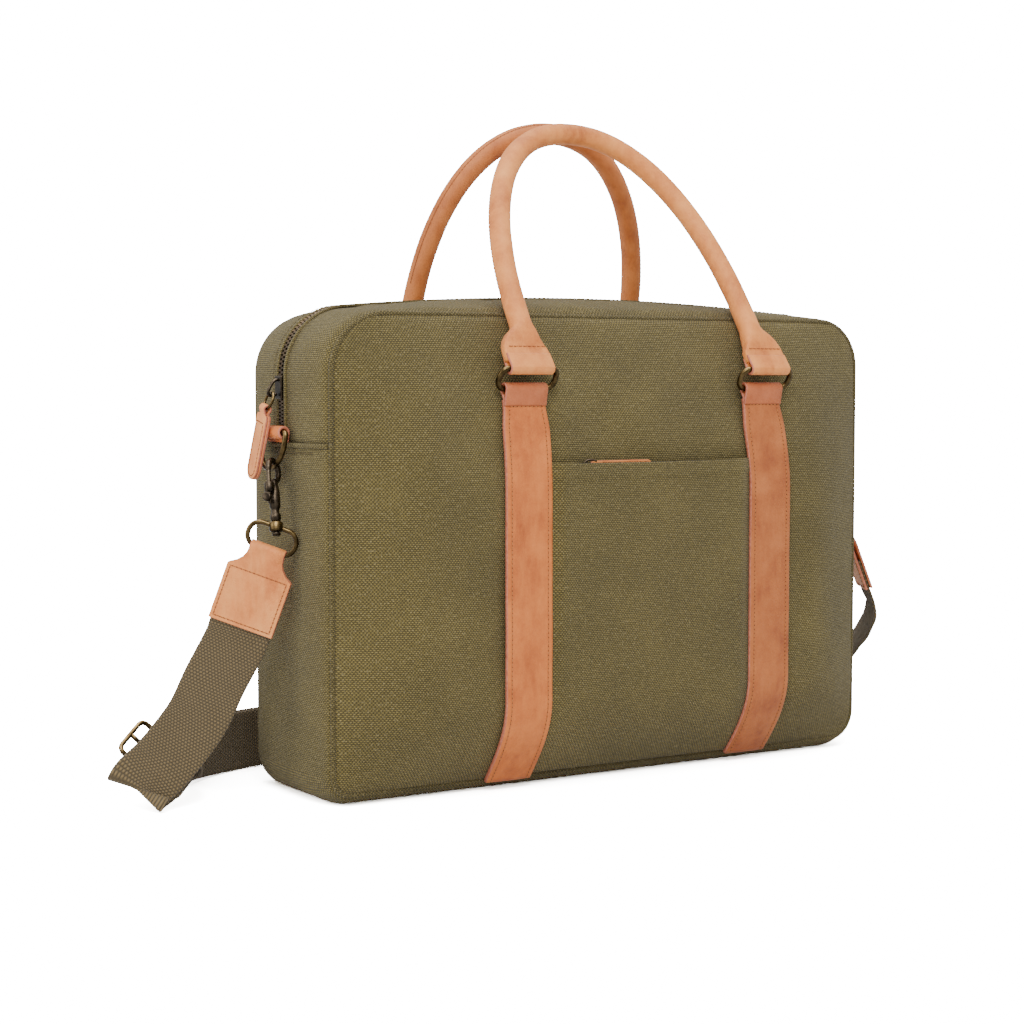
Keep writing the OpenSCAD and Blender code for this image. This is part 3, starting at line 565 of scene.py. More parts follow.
def box_points(low, high):
    x0, y0, z0 = low
    x1, y1, z1 = high
    points = [(x0, y0, z0), (x1, y0, z0), (x1, y1, z0), (x0, y1, z0),
              (x0, y0, z1), (x1, y0, z1), (x1, y1, z1), (x0, y1, z1)]
    faces = [(0, 1, 2, 3), (4, 5, 6, 7), (0, 1, 5, 4), (1, 2, 6, 5), (2, 3, 7, 6), (3, 0, 4, 7)]
    return points, faces


def block(name, low, high, material, bevel=0.3, place=FRONT):
    points, faces = box_points(low, high)
    return bevelled(mesh_object(name, points, faces, [material], place=place, smooth=False), bevel, 2)


STITCH_PROFILE = ((-0.5, 0.15), (-0.42, 0.75), (-0.2, 1.0), (0.2, 1.0), (0.42, 0.75), (0.5, 0.15))


def stitches(name, runs, material, pitch=4.3, length=3.1, radius=0.42, place=FRONT):
    """Rows of thread with a small disc between stitches. With the orange and brown threads the disc is
    near-black, as painted shade in the needle hole.

    A run is a list of (point, outward normal), in mm.
    """
    points = []
    faces = []
    slots = []
    sides = 6
    rings = len(STITCH_PROFILE)
    for run in runs:
        line = np.array([p for p, _ in run], float)
        outs = np.array([n for _, n in run], float)
        reach = np.concatenate([[0], np.cumsum(np.linalg.norm(np.diff(line, axis=0), axis=1))])
        count = int(reach[-1] / pitch)
        for step in range(count):
            middle = (step + 0.5) * reach[-1] / count
            ends = [middle - length / 2, middle + length / 2, middle + pitch / 2]
            a, b, hole = (np.array([np.interp(e, reach, line[:, c]) for c in range(3)]) for e in ends)
            out = np.array([np.interp(middle, reach, outs[:, c]) for c in range(3)])
            along = (b - a) / np.linalg.norm(b - a)
            out = out - out.dot(along) * along
            out = out / np.linalg.norm(out)
            side = np.cross(along, out)
            along = along + 0.09 * side
            start = len(points)
            for share, width in STITCH_PROFILE:
                sink = -5.6 * radius * abs(share) ** 3
                centre = (a + b) / 2 + share * length * along + (sink + 0.05) * out
                for k in range(sides):
                    angle = 2 * math.pi * k / sides
                    round_it = math.cos(angle) * side + 0.8 * math.sin(angle) * out
                    points.append(centre + radius * width * round_it)
            faces += [tuple(start + v for v in f) for f in grid_faces(rings, sides, wrap_columns=True)]
            faces.append(tuple(start + k for k in range(sides)))
            faces.append(tuple(start + (rings - 1) * sides + k for k in range(sides)))
            slots += [0] * ((rings - 1) * sides + 2)
            start = len(points)
            for level in (-0.1, 0.14):
                for k in range(sides):
                    angle = 2 * math.pi * k / sides
                    points.append(hole + level * out
                                  + radius * (0.9 * math.cos(angle) * side + 0.8 * math.sin(angle) * along))
            faces += [tuple(start + v for v in f) for f in grid_faces(2, sides, wrap_columns=True)]
            faces.append(tuple(start + k for k in range(sides)))
            faces.append(tuple(start + sides + k for k in range(sides)))
            slots += [1] * (sides + 2)
    # With the orange and brown threads the disc between stitches takes the near-black painted needle-hole
    # shade; other threads keep their own colour.
    dark = NEEDLE_HOLE_SHADE if material in (THREAD, HANDLE_THREAD) else material
    return mesh_object(name, points, faces, [material, dark], slots, place=place)


def spline(rows, steps):
    """A smooth curve through rows of numbers."""
    rows = np.asarray(rows, float)
    last = len(rows) - 1
    made = []
    for i in range(last):
        a, b, c, d = rows[max(0, i - 1)], rows[i], rows[i + 1], rows[min(last, i + 2)]
        for s in range(steps):
            t = s / steps
            made.append(0.5 * (2 * b + (c - a) * t + (2 * a - 5 * b + 4 * c - d) * t * t
                               + (3 * b - a - 3 * c + d) * t ** 3))
    made.append(rows[last])
    return np.array(made)


def crumple(x, y, z, size):
    return noise.noise(Vector((x / size, y / size, z / size)))


# ---------------------------------------------------------------- how the pieces move

def on_body(obj, body="body"):
    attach(obj, body)
    return obj


def over_mouth(obj):
    """Cloth and straps at the mouth: their placement is baked into the mesh."""
    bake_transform(obj)
    return obj


# ---------------------------------------------------------------- panels

def corner_radius(side, low):
    if not low:
        return CORNER_TOP[side]
    return CORNER_FOOT[0] if side < 0 else CORNER_FOOT[1]


def half_width(z, side):
    foot = corner_radius(side, True)
    if z < PANEL_FOOT + foot:
        return HALF_W - foot + math.sqrt(max(0, foot ** 2 - (PANEL_FOOT + foot - z) ** 2))
    head = corner_radius(side, False)
    if z > PANEL_TOP - head:
        return HALF_W - head + math.sqrt(max(0, head ** 2 - (z - PANEL_TOP + head) ** 2))
    return HALF_W


def ease(gap, reach):
    return math.sin(math.pi / 2 * min(1, max(0, gap) / reach))


def bulge_at(x, z):
    edge = half_width(z, -1 if x < 0 else 1) - abs(x)
    return (BULGE * ease(edge, 60) * ease(z - PANEL_FOOT, 53)
            * ease((max(0, (PANEL_TOP - z) / 113)) ** 0.8, 1))


def panel_relief(x, z, seed):
    """Soft unevenness of the stuffed canvas: broad dents, puckers at the seams, a dip beside each strap."""
    edge = min(half_width(z, -1 if x < 0 else 1) - abs(x), z - PANEL_FOOT, PANEL_TOP - z)
    free = min(1, max(0, edge) / 30)
    broad = 2.3 * crumple(x, seed, z, 75) + 1.2 * crumple(x + 40, seed, z * 1.2, 30)
    pucker = 0.55 * crumple(x * 1.4, seed + 9, z * 1.4, 13) * math.exp(-max(0, edge) / 12)
    beside = min(abs(abs(x - STRAP_X[0]) - STRAP_W / 2), abs(abs(x - STRAP_X[1]) - STRAP_W / 2))
    under = min(abs(x - STRAP_X[0]), abs(x - STRAP_X[1])) < STRAP_W / 2
    dip = -0.9 * math.exp(-(beside / 5) ** 2) if not under else -0.9
    rounded = -3.0 * (1 - min(1, max(0, edge) / 4.5)) ** 2
    return free * (broad - 0.9) + pucker * min(1, edge / 2 if edge > 0 else 0) + dip * free + rounded


def panel_heights():
    low = [PANEL_FOOT + 26 * (1 - math.cos(math.pi / 2 * i / 14)) for i in range(15)]
    tallest = max(CORNER_TOP.values())
    middle = list(np.linspace(33, PANEL_TOP - tallest, 66)[1:])
    high = [PANEL_TOP - tallest + tallest * math.sin(math.pi / 2 * i / 18) for i in range(1, 19)]
    return low + middle + high


def panel_columns():
    shares = np.linspace(-1, 1, 125)
    return np.sign(shares) * (1 - (1 - np.abs(shares)) ** 1.25)


def make_panel(name, place, seed, nodes):
    heights = panel_heights()
    columns = panel_columns()
    outer = np.zeros((len(heights), len(columns), 3))
    inner = np.zeros_like(outer)
    uv = np.zeros((len(heights), len(columns), 2))
    for i, z in enumerate(heights):
        for k, share in enumerate(columns):
            x = half_width(z, -1 if share < 0 else 1) * share
            bulge = bulge_at(x, z)
            outer[i, k] = (x, -PANEL_FACE - bulge - panel_relief(x, z, seed), z)
            inner[i, k] = (x, -HALF_D - bulge, z)
            uv[i, k] = (x, z)
    panel = sheet_mesh(name, outer, inner, uv, [CANVAS], place)
    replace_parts(over_mouth(panel), *nodes)


# ---------------------------------------------------------------- gusset, seams and piping

def straight(a, b, normal, count):
    return [(a[0] + (b[0] - a[0]) * i / count, a[1] + (b[1] - a[1]) * i / count, *normal)
            for i in range(count + 1)]


def turn(cx, cz, radius, start, end, count):
    made = []
    for i in range(1, count):
        a = math.radians(start + (end - start) * i / count)
        made.append((cx + radius * math.cos(a), cz + radius * math.sin(a), math.cos(a), math.sin(a)))
    return made


def lower_outline():
    left, right = CORNER_FOOT
    run = straight((-HALF_W, MOUTH_Z), (-HALF_W, PANEL_FOOT + left), (-1, 0), 50)
    run += turn(-HALF_W + left, PANEL_FOOT + left, left, 180, 270, 10)
    run += straight((-HALF_W + left, PANEL_FOOT), (HALF_W - right, PANEL_FOOT), (0, -1), 70)
    run += turn(HALF_W - right, PANEL_FOOT + right, right, 270, 360, 14)
    return run + straight((HALF_W, PANEL_FOOT + right), (HALF_W, MOUTH_Z), (1, 0), 50)


def upper_outline(step=1.0):
    left, right = CORNER_TOP[-1], CORNER_TOP[1]
    run = straight((-HALF_W, MOUTH_Z), (-HALF_W, PANEL_TOP - left), (-1, 0), int(14 * step))
    run += turn(-HALF_W + left, PANEL_TOP - left, left, 180, 90, int(28 * step))
    run += straight((-HALF_W + left, PANEL_TOP), (HALF_W - right, PANEL_TOP), (0, 1), int(80 * step))
    run += turn(HALF_W - right, PANEL_TOP - right, right, 90, 0, int(28 * step))
    return run + straight((HALF_W, PANEL_TOP - right), (HALF_W, MOUTH_Z), (1, 0), int(14 * step))


def swell(p):
    share = min(1, (p[0] / 166) ** 2)
    rise = PANEL_FOOT if p[3] < 0 else CROWN[0] + (CROWN[1] - CROWN[0]) * share
    return SIDE_SWELL * p[2] ** 2 + rise * p[3] ** 2


def swell_share(p, y):
    flat = 7 + 29 * p[3] ** 2 if p[3] < 0 else 7
    if abs(y) <= flat:
        return 1.0
    return math.sqrt(max(0, 1 - ((abs(y) - flat) / (HALF_D - flat)) ** 2))


def rim(p, y, out):
    return np.array((p[0] + p[2] * out, y, p[1] + p[3] * out))


def gusset_relief(p, y, seed):
    edge = HALF_D - abs(y)
    soft = min(1, edge / 10) * (1 if p[3] > -0.5 else 0)
    broad = 1.3 * crumple(p[0], y + seed, p[1], 38)
    broad = broad + 0.8 * crumple(p[0] * 1.5, y * 0.6 + seed, p[1] * 1.5, 17)
    pucker = 0.5 * crumple(p[0] * 2, y + seed, p[1] * 2, 12) * math.exp(-edge / 10)
    return soft * (broad - 0.7) + pucker * min(1, edge / 3)


def run_lengths(run):
    reach = [0.0]
    for a, b in zip(run, run[1:]):
        reach.append(reach[-1] + math.dist(a[:2], b[:2]) * 1.06)
    return reach


def make_gusset(name, run, depths, place, seed, thickness=2.4):
    reach = run_lengths(run)
    outer = np.zeros((len(run), len(depths), 3))
    inner = np.zeros_like(outer)
    uv = np.zeros((len(run), len(depths), 2))
    for i, p in enumerate(run):
        for k, y in enumerate(depths):
            out = swell(p) * swell_share(p, y)
            outer[i, k] = rim(p, y, out + gusset_relief(p, y, seed))
            inner[i, k] = rim(p, y, out - thickness)
            uv[i, k] = (y, reach[i])
    return sheet_mesh(name, outer, inner, uv, [CANVAS], place)


def piping_run(run):
    return np.array([rim(p, -HALF_D - 0.9, -0.2) for p in run])


def make_piping(name, run, place):
    """The ridge of turned canvas where a panel meets the gusset, with a thin near-black tube just behind it
    as painted shade in the seam.
    """
    path = piping_run(run)
    tangents = frames_along(path)[0]
    lifts = np.tile((0.0, 1.0, 0.0), (len(path), 1))
    sides = np.cross(tangents, lifts)
    ridge = sweep("ridge", path, sides, lifts, circle(1.7, 12), [BINDING], place=place)
    # The near-black tube tucked behind the ridge is painted shade in the seam.
    behind = np.array([rim(p, -HALF_D + 1.1, 0.25) for p in run])
    seam_shade_tube = sweep("seam_shade_tube", behind, sides, lifts, circle(0.6, 8), [SEAM_SHADE], place=place)
    return joined(name, [ridge, seam_shade_tube])


def half_depths():
    steps = [1 - (1 - i / 16) ** 1.6 for i in range(17)]
    return [-HALF_D + (HALF_D - 4.6) * s for s in steps]


def full_depths():
    shares = np.linspace(-1, 1, 41)
    return list(HALF_D * np.sign(shares) * (1 - (1 - np.abs(shares)) ** 1.5))


def make_zip_half(name, place, nodes, start_at):
    """Tape and teeth of one side of the zip; start_at sets its teeth half a pitch from the other side's."""
    run = upper_outline(2)
    reach = run_lengths(run)
    outer = np.array([[rim(p, y, swell(p) - 2.2) for y in (-9.5, -6, -3.0)] for p in run])
    inner = np.array([[rim(p, y, swell(p) - 3.1) for y in (-9.5, -6, -3.0)] for p in run])
    uv = np.array([[(y, reach[i]) for y in (-9.5, -6, -3.0)] for i in range(len(run))])
    tape = sheet_mesh(name + "_tape", outer, inner, uv, [TAPE], place)
    points = []
    faces = []
    line = np.array([(p[0], p[1], p[2], p[3]) for p in run])
    gaps = np.array(reach)
    count = int(gaps[-1] / 2.3)
    for step in range(count):
        at = (step + start_at) * gaps[-1] / count
        p = [np.interp(at, gaps, line[:, c]) for c in range(4)]
        out = swell(p)
        along = np.array((-p[3], 0, p[2]))
        up = np.array((p[2], 0, p[3]))
        base = np.array((p[0], 0, p[1])) + (out - 0.7) * up
        shape, sides = box_points((-0.62, -3.3, -0.9), (0.62, 0.5, 0.75))
        start = len(points)
        points += [base + a * along + np.array((0, b, 0)) + c * up * (1 if b < -1 else 0.75)
                   for a, b, c in shape]
        faces += [tuple(start + v for v in f) for f in sides]
    teeth = mesh_object(name + "_teeth", points, faces, [TEETH], place=place, smooth=False)
    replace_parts(over_mouth(tape), nodes[0])
    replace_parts(over_mouth(teeth), nodes[1])


def make_hem(name, place):
    """The folded edge of the canvas along the zip, with its row of thread."""
    run = upper_outline(2)
    centres = np.array([rim(p, -5.3, swell(p) - 0.1) for p in run])
    tangents = frames_along(centres)[0]
    lifts = np.array([(p[2], 0, p[3]) for p in run])
    sides = np.cross(tangents, lifts)
    section = [(-1.2, -1.2), (-1.4, 0), (-1.0, 0.45), (0, 0.6), (1.1, 0.45), (1.5, 0), (1.3, -1.2)]
    hem = sweep(name, centres, sides, lifts, section, [CANVAS], place=place)
    thread_run = [[(rim(p, -9.4, swell(p) * swell_share(p, -9.4) + 0.3), (p[2], 0, p[3])) for p in run]]
    thread = stitches(name + "_thread", thread_run, CANVAS_THREAD, 3.4, 2.4, 0.3, place)
    for piece in (hem, thread):
        over_mouth(piece)


def make_side_seams():
    """The cross seams where the zip ends, one on each side: a turned fold and a row of thread."""
    pieces = []
    for side in (-1, 1):
        depths = np.linspace(-HALF_D + 0.4, HALF_D - 0.4, 60)
        p = (side * HALF_W, MOUTH_Z - 1.4, side, 0)
        centres = np.array([rim(p, y, swell(p) * swell_share(p, y) + 0.25) for y in depths])
        lifts = np.tile((side * 1.0, 0, 0), (60, 1))
        sides = np.tile((0, 0, 1.0), (60, 1))
        section = [(-1.5, -1), (-1.7, 0.2), (-1.1, 0.8), (0.3, 1.0), (1.3, 0.7), (1.5, 0), (1.4, -1)]
        pieces.append(sweep("side_seam", centres, sides, lifts, section, [CANVAS]))
        row = [(c + np.array((side * 0.1, 0, -4.5)), (side, 0, 0)) for c in centres[6:-6]]
        pieces.append(stitches("side_thread", [row], CANVAS_THREAD, 3.4, 2.4, 0.3))
    seams = joined("side_seams", pieces)
    on_body(seams)


def make_gussets():
    lower = make_gusset("lower_gusset_cloth", lower_outline(), full_depths(), FRONT, 3)
    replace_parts(on_body(lower), "lower_gusset")
    for name, mouth, place, seed in (("front", "front_mouth", FRONT, 7), ("back", "back_mouth", BACK, 21)):
        upper = make_gusset(f"top_gusset_{name}_cloth", upper_outline(), half_depths(), place, seed)
        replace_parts(over_mouth(upper), f"top_gusset_{name}")
        high = over_mouth(make_piping(f"piping_{name}_upper", upper_outline(), place))
        low = on_body(make_piping(f"piping_{name}_lower", lower_outline(), place))
        make_zip_half(f"zip_{name}", place, (f"zip_tape_{name}", f"zip_teeth_{name}"), seed / 28)
        make_hem(f"zip_hem_{name}", place)


# ---------------------------------------------------------------- leather straps down the panels

def smooth_step(value, low, high):
    share = min(1, max(0, (value - low) / (high - low)))
    return share * share * (3 - 2 * share)


def strap_path(x, low, high, count, off):
    """The middle of a strap up a panel. The right straps stand a little outwards below the pocket's edge."""
    aside = 3 if x > 0 else 0
    return np.array([(x + aside * (1 - smooth_step(z, 185, 238)), -PANEL_FACE - bulge_at(x, z) - off, z)
                     for z in np.linspace(low, high, count)])


def strap_width(z):
    return STRAP_W - 3.2 * smooth_step(z, 221, 239)


def band_section(width, thickness, groove=3.6):
    """Across a strap: flat face with a pressed line at each row of thread, and rounded painted edges."""
    w = width / 2
    t = thickness
    face = [(-w + 0.6, 0.92 * t), (-w + groove - 1.1, t), (-w + groove, t - 0.28), (-w + groove + 1.1, t)]
    face += [(-w * 0.35, t + 0.12), (0, t + 0.18), (w * 0.35, t + 0.12)]
    face += [(w - groove - 1.1, t), (w - groove, t - 0.28), (w - groove + 1.1, t), (w - 0.6, 0.92 * t)]
    edge = [(w - 0.1, 0.7 * t), (w, 0.5 * t), (w - 0.1, 0.25 * t), (w - 0.5, 0)]
    return face + edge + [(0, 0)] + [(-a, b) for a, b in reversed(edge)]


def band_slots(width, thickness):
    section = band_section(width, thickness)
    slots = []
    for here, after in zip(section, section[1:] + section[:1]):
        slots.append(1 if min(abs(here[0]), abs(after[0])) > width / 2 - 0.7 else 0)
    return slots


def make_strap(name, x, place, nodes):
    path = strap_path(x, PANEL_FOOT + 1, RING_LOW[1] - 7, 110, 0.1)
    lifts = []
    for i in range(len(path)):
        t = path[min(i + 1, len(path) - 1)] - path[max(i - 1, 0)]
        t = t / np.linalg.norm(t)
        lifts.append(np.cross(t, (1.0, 0, 0)) * -1)
    lifts = np.array([v if v[1] < 0 else -v for v in lifts])
    sides = np.tile((1.0, 0, 0), (len(path), 1))
    uneven = np.array([[0, 0.35 * crumple(x, 0, p[2], 30), 0] for p in path])
    leather = LEATHER if x < 0 else RIGHT_LEATHER
    sections = [band_section(strap_width(p[2]), STRAP_T) for p in path]
    strap = sweep(name, path + uneven, sides, lifts, sections, [leather, EDGE], band_slots(STRAP_W, STRAP_T),
                  place=place)
    rows = []
    for side in (-1, 1):
        rows.append([(p + sides[0] * side * (strap_width(p[2]) / 2 - 3.6) + n * (STRAP_T - 0.12), n)
                     for p, n in zip(path + uneven, lifts) if p[2] < 235])
    across_top = path[-3] + lifts[-3] * (STRAP_T + 0.1)
    rows.append([(across_top + np.array((dx, 0, 0)), lifts[-3]) for dx in np.linspace(-11.6, 11.6, 12)])
    thread = stitches(name + "_thread", rows, THREAD, 2.7, 2.0, 0.34, place)
    fold = make_fold(name + "_fold", x, place)
    for piece in (strap, thread, fold):
        over_mouth(piece)
    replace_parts(strap, nodes[0], nodes[1])


def make_fold(name, x, place):
    """The strap's narrower end goes round the ring's lower bar and back down behind."""
    y, z = RING_LOW
    foot = PANEL_FACE + bulge_at(x, z - 8)
    path = [(x, -foot - 1.9, z - 9), (x, -foot - 2.3, z - 6), (x, -y - 0.2 + 3.0 - 0.4, z - 2.2)]
    for i in range(0, 10):
        a = math.radians(-20 + 215 * i / 9)
        path.append((x, -y + 3.1 * math.cos(a), z + 3.1 * math.sin(a)))
    path += [(x, -y - 2.4, z - 3.6), (x, -foot - 4.0, z - 7), (x, -foot - 3.7, z - 10)]
    path = spline(path, 3)
    tangents = frames_along(path)[0]
    sides = np.tile((1.0, 0, 0), (len(path), 1))
    lifts = np.cross(tangents, sides)
    section = rounded_bar(30, 1.7, 0.6)
    return sweep(name, path, sides, lifts, section, [FOLD_LEATHER, EDGE],
                 bar_slots(section, 30), place=place)


def rounded_bar(width, thickness, corner):
    w = width / 2
    t = thickness / 2
    c = corner
    return [(-w + c, t), (-w * 0.4, t), (w * 0.4, t), (w - c, t),
            (w - 0.15, t * 0.55), (w, 0), (w - 0.15, -t * 0.55),
            (w - c, -t), (w * 0.4, -t), (-w * 0.4, -t), (-w + c, -t), (-w + 0.15, -t * 0.55), (-w, 0),
            (-w + 0.15, t * 0.55)]


def bar_slots(section, width):
    return [1 if min(abs(a[0]), abs(b[0])) > width / 2 - 0.8 else 0
            for a, b in zip(section, section[1:] + section[:1])]


# ---------------------------------------------------------------- handles and their rings

ARCH_POWER = 2.2
ARCH_SPREAD = 88
ARCH_START = 26


def arch_points(rise, count=90):
    made = []
    for i in range(count + 1):
        ends = math.cos(math.pi * i / count)
        a = math.pi * (0.5 - 0.5 * ends * (0.985 + 0.015 * abs(ends)))
        a = min(math.pi, max(0, a))
        c = math.cos(a)
        made.append((-ARCH_SPREAD * math.copysign(abs(c) ** (2 / ARCH_POWER), c), 0.0,
                     ARCH_START + (rise - ARCH_START) * math.sin(a) ** (2 / ARCH_POWER)))
    return np.array(made)


def even(path, gap):
    """The same path with points a steady distance apart."""
    path = np.asarray(path, float)
    reach = np.concatenate([[0], np.cumsum(np.linalg.norm(np.diff(path, axis=0), axis=1))])
    count = max(2, int(reach[-1] / gap))
    at = np.linspace(0, reach[-1], count + 1)
    return np.stack([np.interp(at, reach, path[:, c]) for c in range(3)], 1)


def handle_place(lean, back):
    turn_back = Matrix.Rotation(math.radians(-lean), 4, "X")
    moved = Matrix.Translation(Vector((HANDLE_X, -RING_HIGH[0], RING_HIGH[1])) * MM) @ turn_back
    return (BACK if back else FRONT) @ moved


def oval(half_x, half_y, power, sides=28):
    made = []
    for k in range(sides):
        a = 2 * math.pi * (k + 0.5) / sides
        c = math.cos(a)
        d = math.sin(a)
        made.append((half_x * math.copysign(abs(c) ** (2 / power), c),
                     half_y * math.copysign(abs(d) ** (2 / power), d)))
    return made


def make_handle(name, rise, lean, back, body, nodes):
    place = handle_place(lean, back)
    leather = BACK_LEATHER if back else HANDLE_LEATHER
    left = [(-HANDLE_REACH, 0, z) for z in (5, 8, 11, 14)] + [(-90.6, 0, 17), (-89.6, 0, 21)]
    arch = even(arch_points(rise), 3.2)
    right = [(-p[0], p[1], p[2]) for p in reversed(left)]
    path = np.concatenate([np.array(left, float), arch, np.array(right, float)])
    tangents = frames_along(path)[0]
    lifts = np.tile((0.0, 1.0, 0.0), (len(path), 1))
    sides = np.cross(lifts, tangents)
    sections = []
    for p in path:
        up = p[2]
        blend = min(1, max(0, (up - 11) / 20)) if up < 40 else 1
        blend = blend * blend * (3 - 2 * blend)
        half_x = 15.6 + (6.9 - 15.6) * blend
        half_y = 2.7 + (6.9 - 2.7) * blend
        swell_here = 1 + 0.03 * crumple(p[0], 5, p[2], 22)
        sections.append(oval(half_x * swell_here, half_y * swell_here, 7 - 5 * blend))
    for section in sections:
        keel = min(range(len(section)), key=lambda k: section[k][0])
        section[keel] = (section[keel][0] - 0.45, section[keel][1])
    tube = sweep(name + "_tube", path, sides, lifts, sections, [leather], place=place)
    parts = [tube]
    for side in (-1, 1):
        loop = [(side * HANDLE_REACH, -2.1, 9), (side * HANDLE_REACH, -2.5, 5)]
        for i in range(11):
            a = math.radians(200 + 140 * i / 10)
            loop.append((side * HANDLE_REACH, 3.05 * math.cos(a), 3.05 * math.sin(a)))
        loop += [(side * HANDLE_REACH, 2.5, 5), (side * HANDLE_REACH, 2.1, 9)]
        loop = spline(loop, 2)
        along = frames_along(loop)[0]
        across = np.tile((1.0, 0, 0), (len(loop), 1))
        section = rounded_bar(31, 1.8, 0.6)
        parts.append(sweep("loop", loop, across, np.cross(along, across), section,
                           [leather, EDGE], bar_slots(section, 31), place=place))
    rows = []
    for side in (-1, 1):
        for out in (-1, 1):
            rows.append([((side * HANDLE_REACH + dx, out * 2.95, 13.6), (0, out, 0))
                         for dx in np.linspace(-13, 13, 10)])
    inner = [(p - s * 6.9 * 0.93 + np.array((0, 2.6, 0)), -s + np.array((0, 0.3, 0)))
             for p, s in zip(path[16:-16], sides[16:-16])]
    rows.append(inner)
    thread = stitches(name + "_thread", rows, HANDLE_THREAD, 2.9, 2.1, 0.36, place)
    handle = joined(name, parts)
    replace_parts(on_body(handle, body), *nodes)
    on_body(thread, body)


def make_handle_ring(name, x, back, body, node):
    tilt = math.degrees(math.atan2(RING_HIGH[0] - RING_LOW[0], RING_HIGH[1] - RING_LOW[1]))
    rise = math.hypot(RING_HIGH[0] - RING_LOW[0], RING_HIGH[1] - RING_LOW[1])
    moved = (Matrix.Translation(Vector((x, -RING_LOW[0], RING_LOW[1])) * MM)
             @ Matrix.Rotation(math.radians(tilt), 4, "X"))
    place = (BACK if back else FRONT) @ moved
    ring = wire(name, rounded_rectangle(20, rise, 6.4), 1.8, BRASS, 16, True, place)
    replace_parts(on_body(ring, body), node)


# ---------------------------------------------------------------- front pocket

def pocket_top(x):
    share = (x - 9) / 73
    return 203.2 - 0.7 * (1 - share * share)


def make_pocket():
    left = STRAP_X[0] + STRAP_W / 2 - 3
    right = STRAP_X[1] - STRAP_W / 2 + 3
    xs = np.linspace(left, right, 60)
    shares = np.concatenate([np.linspace(0, 0.93, 60), np.linspace(0.94, 1, 8)])
    outer = np.zeros((len(shares), len(xs), 3))
    inner = np.zeros_like(outer)
    uv = np.zeros((len(shares), len(xs), 2))
    for i, share in enumerate(shares):
        for k, x in enumerate(xs):
            z = 9 + (pocket_top(x) - 9) * share
            edge = min(x - left, right - x)
            puff = ease(edge - 2, 8) * min(1, 0.25 + share)
            off = 0.9 + 4.9 * puff * ease(z - 9, 70) + 0.3 * crumple(x, 55, z, 45) * puff
            hem = 0.8 if share > 0.955 else 0
            y = -PANEL_FACE - bulge_at(x, z)
            outer[i, k] = (x, y - off - 0.6 - hem, z)
            inner[i, k] = (x, y - off + 0.6, z)
            uv[i, k] = (x + 3, z + 1)
    cloth = sheet_mesh("front_pocket_cloth", outer, inner, uv, [CANVAS])
    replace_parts(on_body(cloth), "front_pocket")
    row = []
    for x in np.linspace(left + 4, right - 4, 50):
        z = pocket_top(x) - 8.5
        puff = ease(min(x - left, right - x) - 2, 8)
        y = -PANEL_FACE - bulge_at(x, z) - 0.9 - 4.9 * puff - 0.3 * crumple(x, 55, z, 45) * puff - 0.75
        row.append(((x, y, z), (0, -1, 0)))
    thread = stitches("front_pocket_thread", [row], CANVAS_THREAD, 3.6, 2.6, 0.32)
    on_body(thread)


def make_pocket_zip():
    z = 201
    face = PANEL_FACE + bulge_at(HANDLE_X, z)
    xs = np.linspace(-62, 80, 50)
    outer = np.array([[(x, -face - 0.5, z + dz) for dz in (-6, -3, 0.4)] for x in xs])
    inner = np.array([[(x, -face - 0.1, z + dz) for dz in (-6, -3, 0.4)] for x in xs])
    uv = np.array([[(x, dz) for dz in (-6, -3, 0.4)] for x in xs])
    tape = sheet_mesh("pocket_tape", outer, inner, uv, [TAPE])
    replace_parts(on_body(tape), "pocket_zip_tape")
    points = []
    faces = []
    for step in range(68):
        shape, sides = box_points((-0.5, -0.9, -1.6), (0.5, 0, 0.4))
        start = len(points)
        points += [(-60 + step * 2 + a, -face - 0.6 + b, z + c) for a, b, c in shape]
        faces += [tuple(start + v for v in f) for f in sides]
    teeth = mesh_object("pocket_teeth", points, faces, [TEETH], smooth=False)
    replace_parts(on_body(teeth), "pocket_zip_teeth")
    y = -face - 1.8
    bail = [(-43.5, y - 0.8, z - 1), (-42, y - 1.2, z + 2.2),
            (-38.5, y - 1.5, z + 3.5), (-34, y - 1.7, z + 2.6)]
    slider = joined("pocket_slider_metal", [
        block("slider_plate", (-45, y - 0.7, z - 3), (-35, y, z + 1), DARK, 0.3),
        wire("slider_bail", spline(bail, 6), 0.75, DARK, 12),
        lathe("slider_pin", [(1.1, 0), (1.1, 2.3), (1.5, 2.4), (1.5, 2.6)], DARK,
              Matrix.Translation(Vector((-35.5, y, z)) * MM) @ Matrix.Rotation(math.pi / 2, 4, "X"), 16)])
    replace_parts(on_body(slider, "pocket_slider_body"), "pocket_slider")
    outline = [(3.2 * math.cos(a), 3.2 * math.sin(a)) for a in np.radians(np.linspace(60, 300, 11))]
    outline += [(x, -3) for x in np.linspace(3, 40, 6)]
    outline += [(40 + 3 * math.cos(a), 3 * math.sin(a)) for a in np.radians(np.linspace(-80, 80, 9))]
    outline += [(x, 3) for x in np.linspace(40, 3, 6)]
    place = Matrix.Translation(Vector((-35.5, y - 1.6, z)) * MM)
    pull = plate("pocket_pull_leather", outline, 1.2, [TAB_LEATHER, EDGE], 0.3, place)
    rows = [[((x, -0.58, side * 1.9), (0, -1, 0)) for x in np.linspace(5, 40, 16)] for side in (-1, 1)]
    thread = stitches("pocket_pull_thread", rows, THREAD, 3.6, 2.6, 0.3, place)
    for piece in (pull, thread):
        on_body(piece, "pocket_pull_body")
    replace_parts(pull, "pocket_pull")


# ---------------------------------------------------------------- main zip slider and pull

